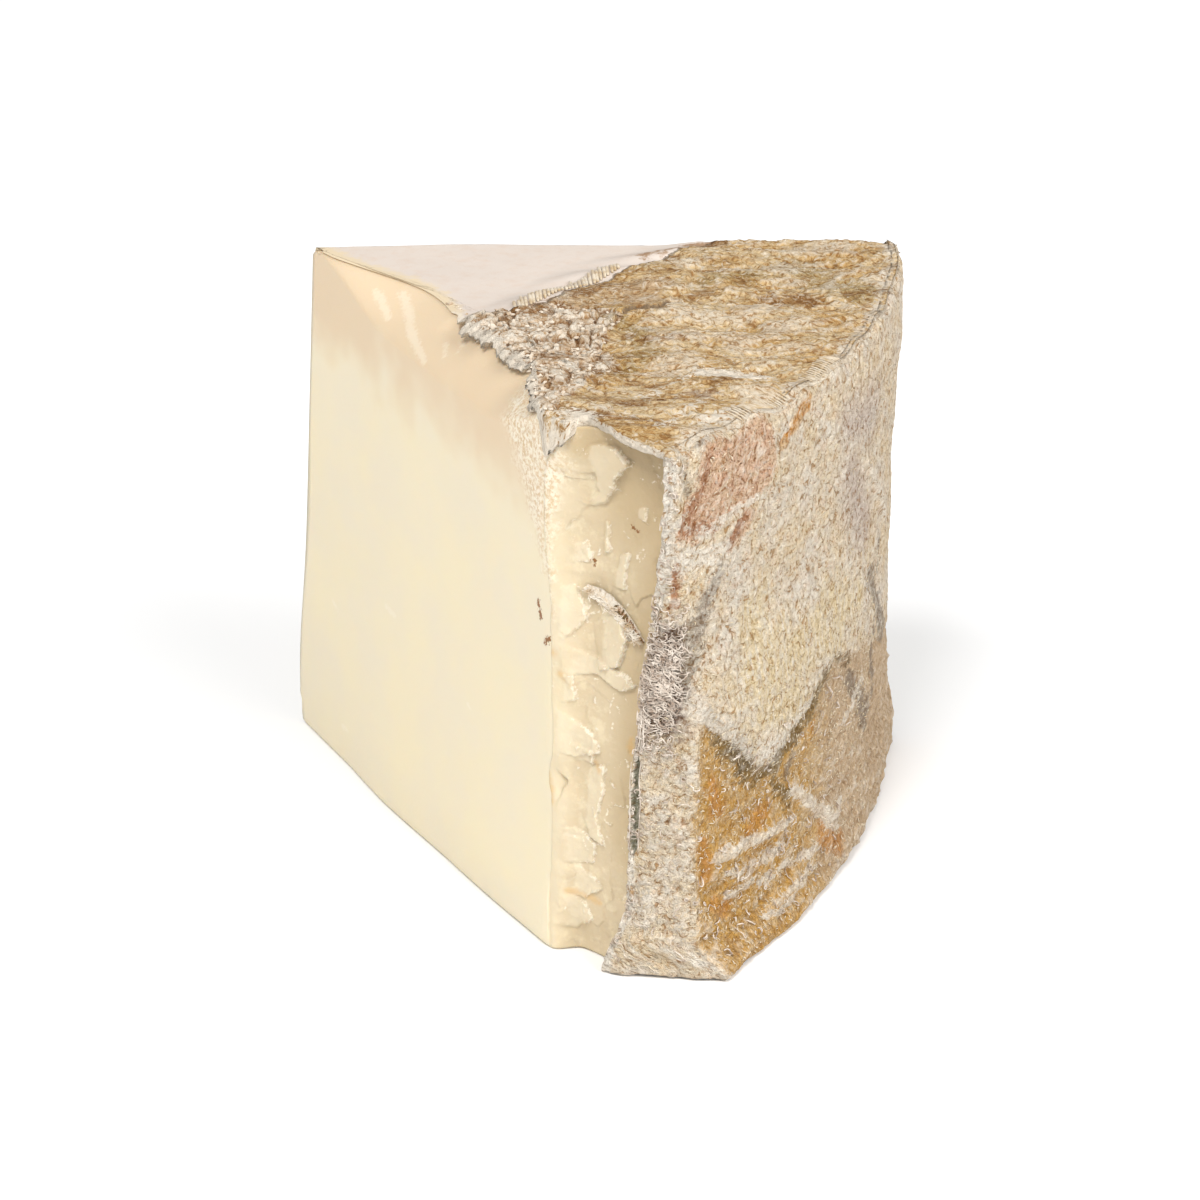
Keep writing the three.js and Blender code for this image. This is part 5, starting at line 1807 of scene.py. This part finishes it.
class CHEDDAR_OT_curl(bpy.types.Operator):
    """Adds the torn curl of rind that lies on the broken strip"""

    bl_idname = "cheddar.add_curl"
    bl_label = "Add Rind Curl"

    def execute(self, context):
        settings = context.scene.cheddar_threads
        way = np.linspace(0.0, 1.0, CURL_STEPS)
        z = lerp(CURL_START[1], CURL_END[1], way) + 0.9 * np.sin(np.pi * way)
        middle = lerp(CURL_START[0], CURL_END[0], way)
        start_x, edge_x = crease_at(z)[0], rind_edge_at(z)[0]
        share = np.clip((middle - start_x) / (edge_x - start_x), 0.0, 0.98)
        x, y, _, _ = broken_strip(z, share, False)
        half = 1.5 * np.sin(np.pi * np.clip(way * 0.88 + 0.08, 0.0, 1.0)) ** 0.7
        rows, hollow = [], []
        for k in range(CURL_RIBS):
            across = 2.0 * k / (CURL_RIBS - 1) - 1.0
            frayed = 0.3 * crumble(way * 16.0, 4.0 * np.sign(across), 163, 3) * abs(across)
            wide = across * (half + frayed)
            lift = 0.5 + 1.3 * bell(across, -0.25, 0.6)
            lift = lift + 0.2 * crumble(way * 14.0, 2.0 * across, 161)
            rows.append(np.stack([x + 0.66 * wide, y - lift, z + 0.75 * wide], axis=-1))
            # The hollow mask marks where the curl takes painted shade.
            hollow.append(0.32 - abs(across - 0.5) - 2.0 * (1.0 - smoothstep(way, 0.35, 0.5)))
        outer = np.stack(rows, axis=1)
        inner = outer[:, ::-1] + np.array([0.0, 0.35, 0.0])
        ring = np.concatenate([outer, inner], axis=1)
        hollow = np.stack(hollow, axis=1)
        points, faces = stack_rings(ring[..., 0], ring[..., 1], ring[..., 2])
        masks = {"hollow": np.concatenate([hollow, 0.0 * hollow - FAR], axis=1).ravel()}
        make_piece("rind_curl", points, faces,
                   curled_rind_material(context.scene.cheddar_side_rind), masks)
        shapes = []
        draw = np.random.default_rng(31)
        for _ in range(CURL_THREADS):
            start = draw.uniform(0.0, 0.97)
            path = []
            heading = draw.uniform(-0.9, 0.9)
            at = np.array([np.interp(start, way, x) - 0.5, np.interp(start, way, y) - 1.9,
                           np.interp(start, way, z) - 0.5])
            for _step in range(CURL_THREAD_STEPS):
                heading += draw.normal(0.0, 0.4)
                step = (math.cos(heading), draw.normal(0.1, 0.2), -math.sin(heading) * 0.9)
                at = at + 0.28 * np.array(step)
                path.append(metres(*at)[0])
            shapes.append(tube(path, settings.radius * 0.7, 5))
        points, faces = join_shapes(shapes)
        make_piece("curl_threads", points, faces,
                   thread_material("curl_thread", srgb("#F0E7D8"), srgb("#C9AE88")))
        return {"FINISHED"}


def camera_matrix(stage):
    """Where the camera stands and which way it looks, with its small lean."""
    a, e = stage.azimuth, stage.elevation
    back = Vector((math.sin(a) * math.cos(e), -math.cos(a) * math.cos(e), math.sin(e)))
    level = Vector((math.cos(a), math.sin(a), 0.0))
    above = back.cross(level)
    right = level * math.cos(stage.roll) + above * math.sin(stage.roll)
    up = back.cross(right)
    place = Matrix((right, up, back)).transposed().to_4x4()
    place.translation = Vector(CAMERA_AIM) + back * stage.distance
    return place


class CHEDDAR_OT_stage(bpy.types.Operator):
    """Adds the floor, the soft studio light and the camera"""

    bl_idname = "cheddar.add_stage"
    bl_label = "Add Stage"

    def execute(self, context):
        stage = context.scene.cheddar_stage
        scene = context.scene
        corners = [(FLOOR_HALF * i, FLOOR_HALF * j, -FLOOR_GAP)
                   for i, j in ((-1, -1), (1, -1), (1, 1), (-1, 1))]
        mesh = bpy.data.meshes.new("floor")
        mesh.from_pydata(corners, [], [(0, 1, 2, 3)])
        floor = bpy.data.objects.new("floor", mesh)
        scene.collection.objects.link(floor)
        material, tree, shader = new_material("pale_floor")
        plug(tree, shader, {"Base Color": stage.floor, "Roughness": 0.9, "Specular IOR Level": 0.0})
        mesh.materials.append(material)

        world = bpy.data.worlds.new("studio")
        scene.world = world
        world.use_nodes = True
        background = world.node_tree.nodes["Background"]
        background.inputs["Color"].default_value = (1.0, 1.0, 1.0, 1.0)
        background.inputs["Strength"].default_value = stage.sky

        for name, (place, size, share) in LIGHTS.items():
            light = bpy.data.lights.new(name, "AREA")
            light.size = size
            light.energy = stage.key * share
            lamp = bpy.data.objects.new(name, light)
            lamp.location = place
            way = Vector(LIGHT_AIM) - lamp.location
            lamp.rotation_euler = way.to_track_quat("-Z", "Y").to_euler()
            scene.collection.objects.link(lamp)

        data = bpy.data.cameras.new("camera")
        data.lens = stage.lens
        data.sensor_width = 36.0
        data.clip_end = 20.0
        camera = bpy.data.objects.new("camera", data)
        camera.matrix_world = camera_matrix(stage)
        scene.collection.objects.link(camera)
        scene.camera = camera
        scene.view_settings.view_transform = "Standard"
        return {"FINISHED"}


class CHEDDAR_PT_panel(bpy.types.Panel):
    """Lists the wedge's pieces and their settings"""

    bl_idname = "CHEDDAR_PT_panel"
    bl_label = "Cheddar Wedge"
    bl_space_type = "VIEW_3D"
    bl_region_type = "UI"
    bl_category = "Cheddar"

    def draw(self, context):
        for operator in OPERATORS:
            self.layout.operator(operator.bl_idname)
        for name, group in SETTINGS.items():
            box = self.layout.box()
            box.label(text=group.__doc__)
            for key in group.__annotations__:
                box.prop(getattr(context.scene, name), key)


SETTINGS = {
    "cheddar_paste": PasteSettings,
    "cheddar_side_rind": SideRindSettings,
    "cheddar_top_rind": TopRindSettings,
    "cheddar_threads": ThreadSettings,
    "cheddar_stage": StageSettings,
}
OPERATORS = (
    CHEDDAR_OT_paste,
    CHEDDAR_OT_side_rind,
    CHEDDAR_OT_top_rind,
    CHEDDAR_OT_stitches,
    CHEDDAR_OT_threads,
    CHEDDAR_OT_crumbs,
    CHEDDAR_OT_tufts,
    CHEDDAR_OT_curl,
    CHEDDAR_OT_stage,
)
CLASSES = (*SETTINGS.values(), *OPERATORS, CHEDDAR_PT_panel)


def register():
    for item in CLASSES:
        bpy.utils.register_class(item)
    for name, group in SETTINGS.items():
        setattr(bpy.types.Scene, name, PointerProperty(type=group))


def unregister():
    for name in SETTINGS:
        delattr(bpy.types.Scene, name)
    for item in reversed(CLASSES):
        bpy.utils.unregister_class(item)


def main():
    register()
    bpy.ops.cheddar.add_paste()
    bpy.ops.cheddar.add_side_rind()
    bpy.ops.cheddar.add_top_rind()
    bpy.ops.cheddar.add_stitches()
    bpy.ops.cheddar.add_threads()
    bpy.ops.cheddar.add_crumbs()
    bpy.ops.cheddar.add_tufts()
    bpy.ops.cheddar.add_curl()
    bpy.ops.cheddar.add_stage()
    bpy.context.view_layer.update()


if __name__ == "__main__":
    main()
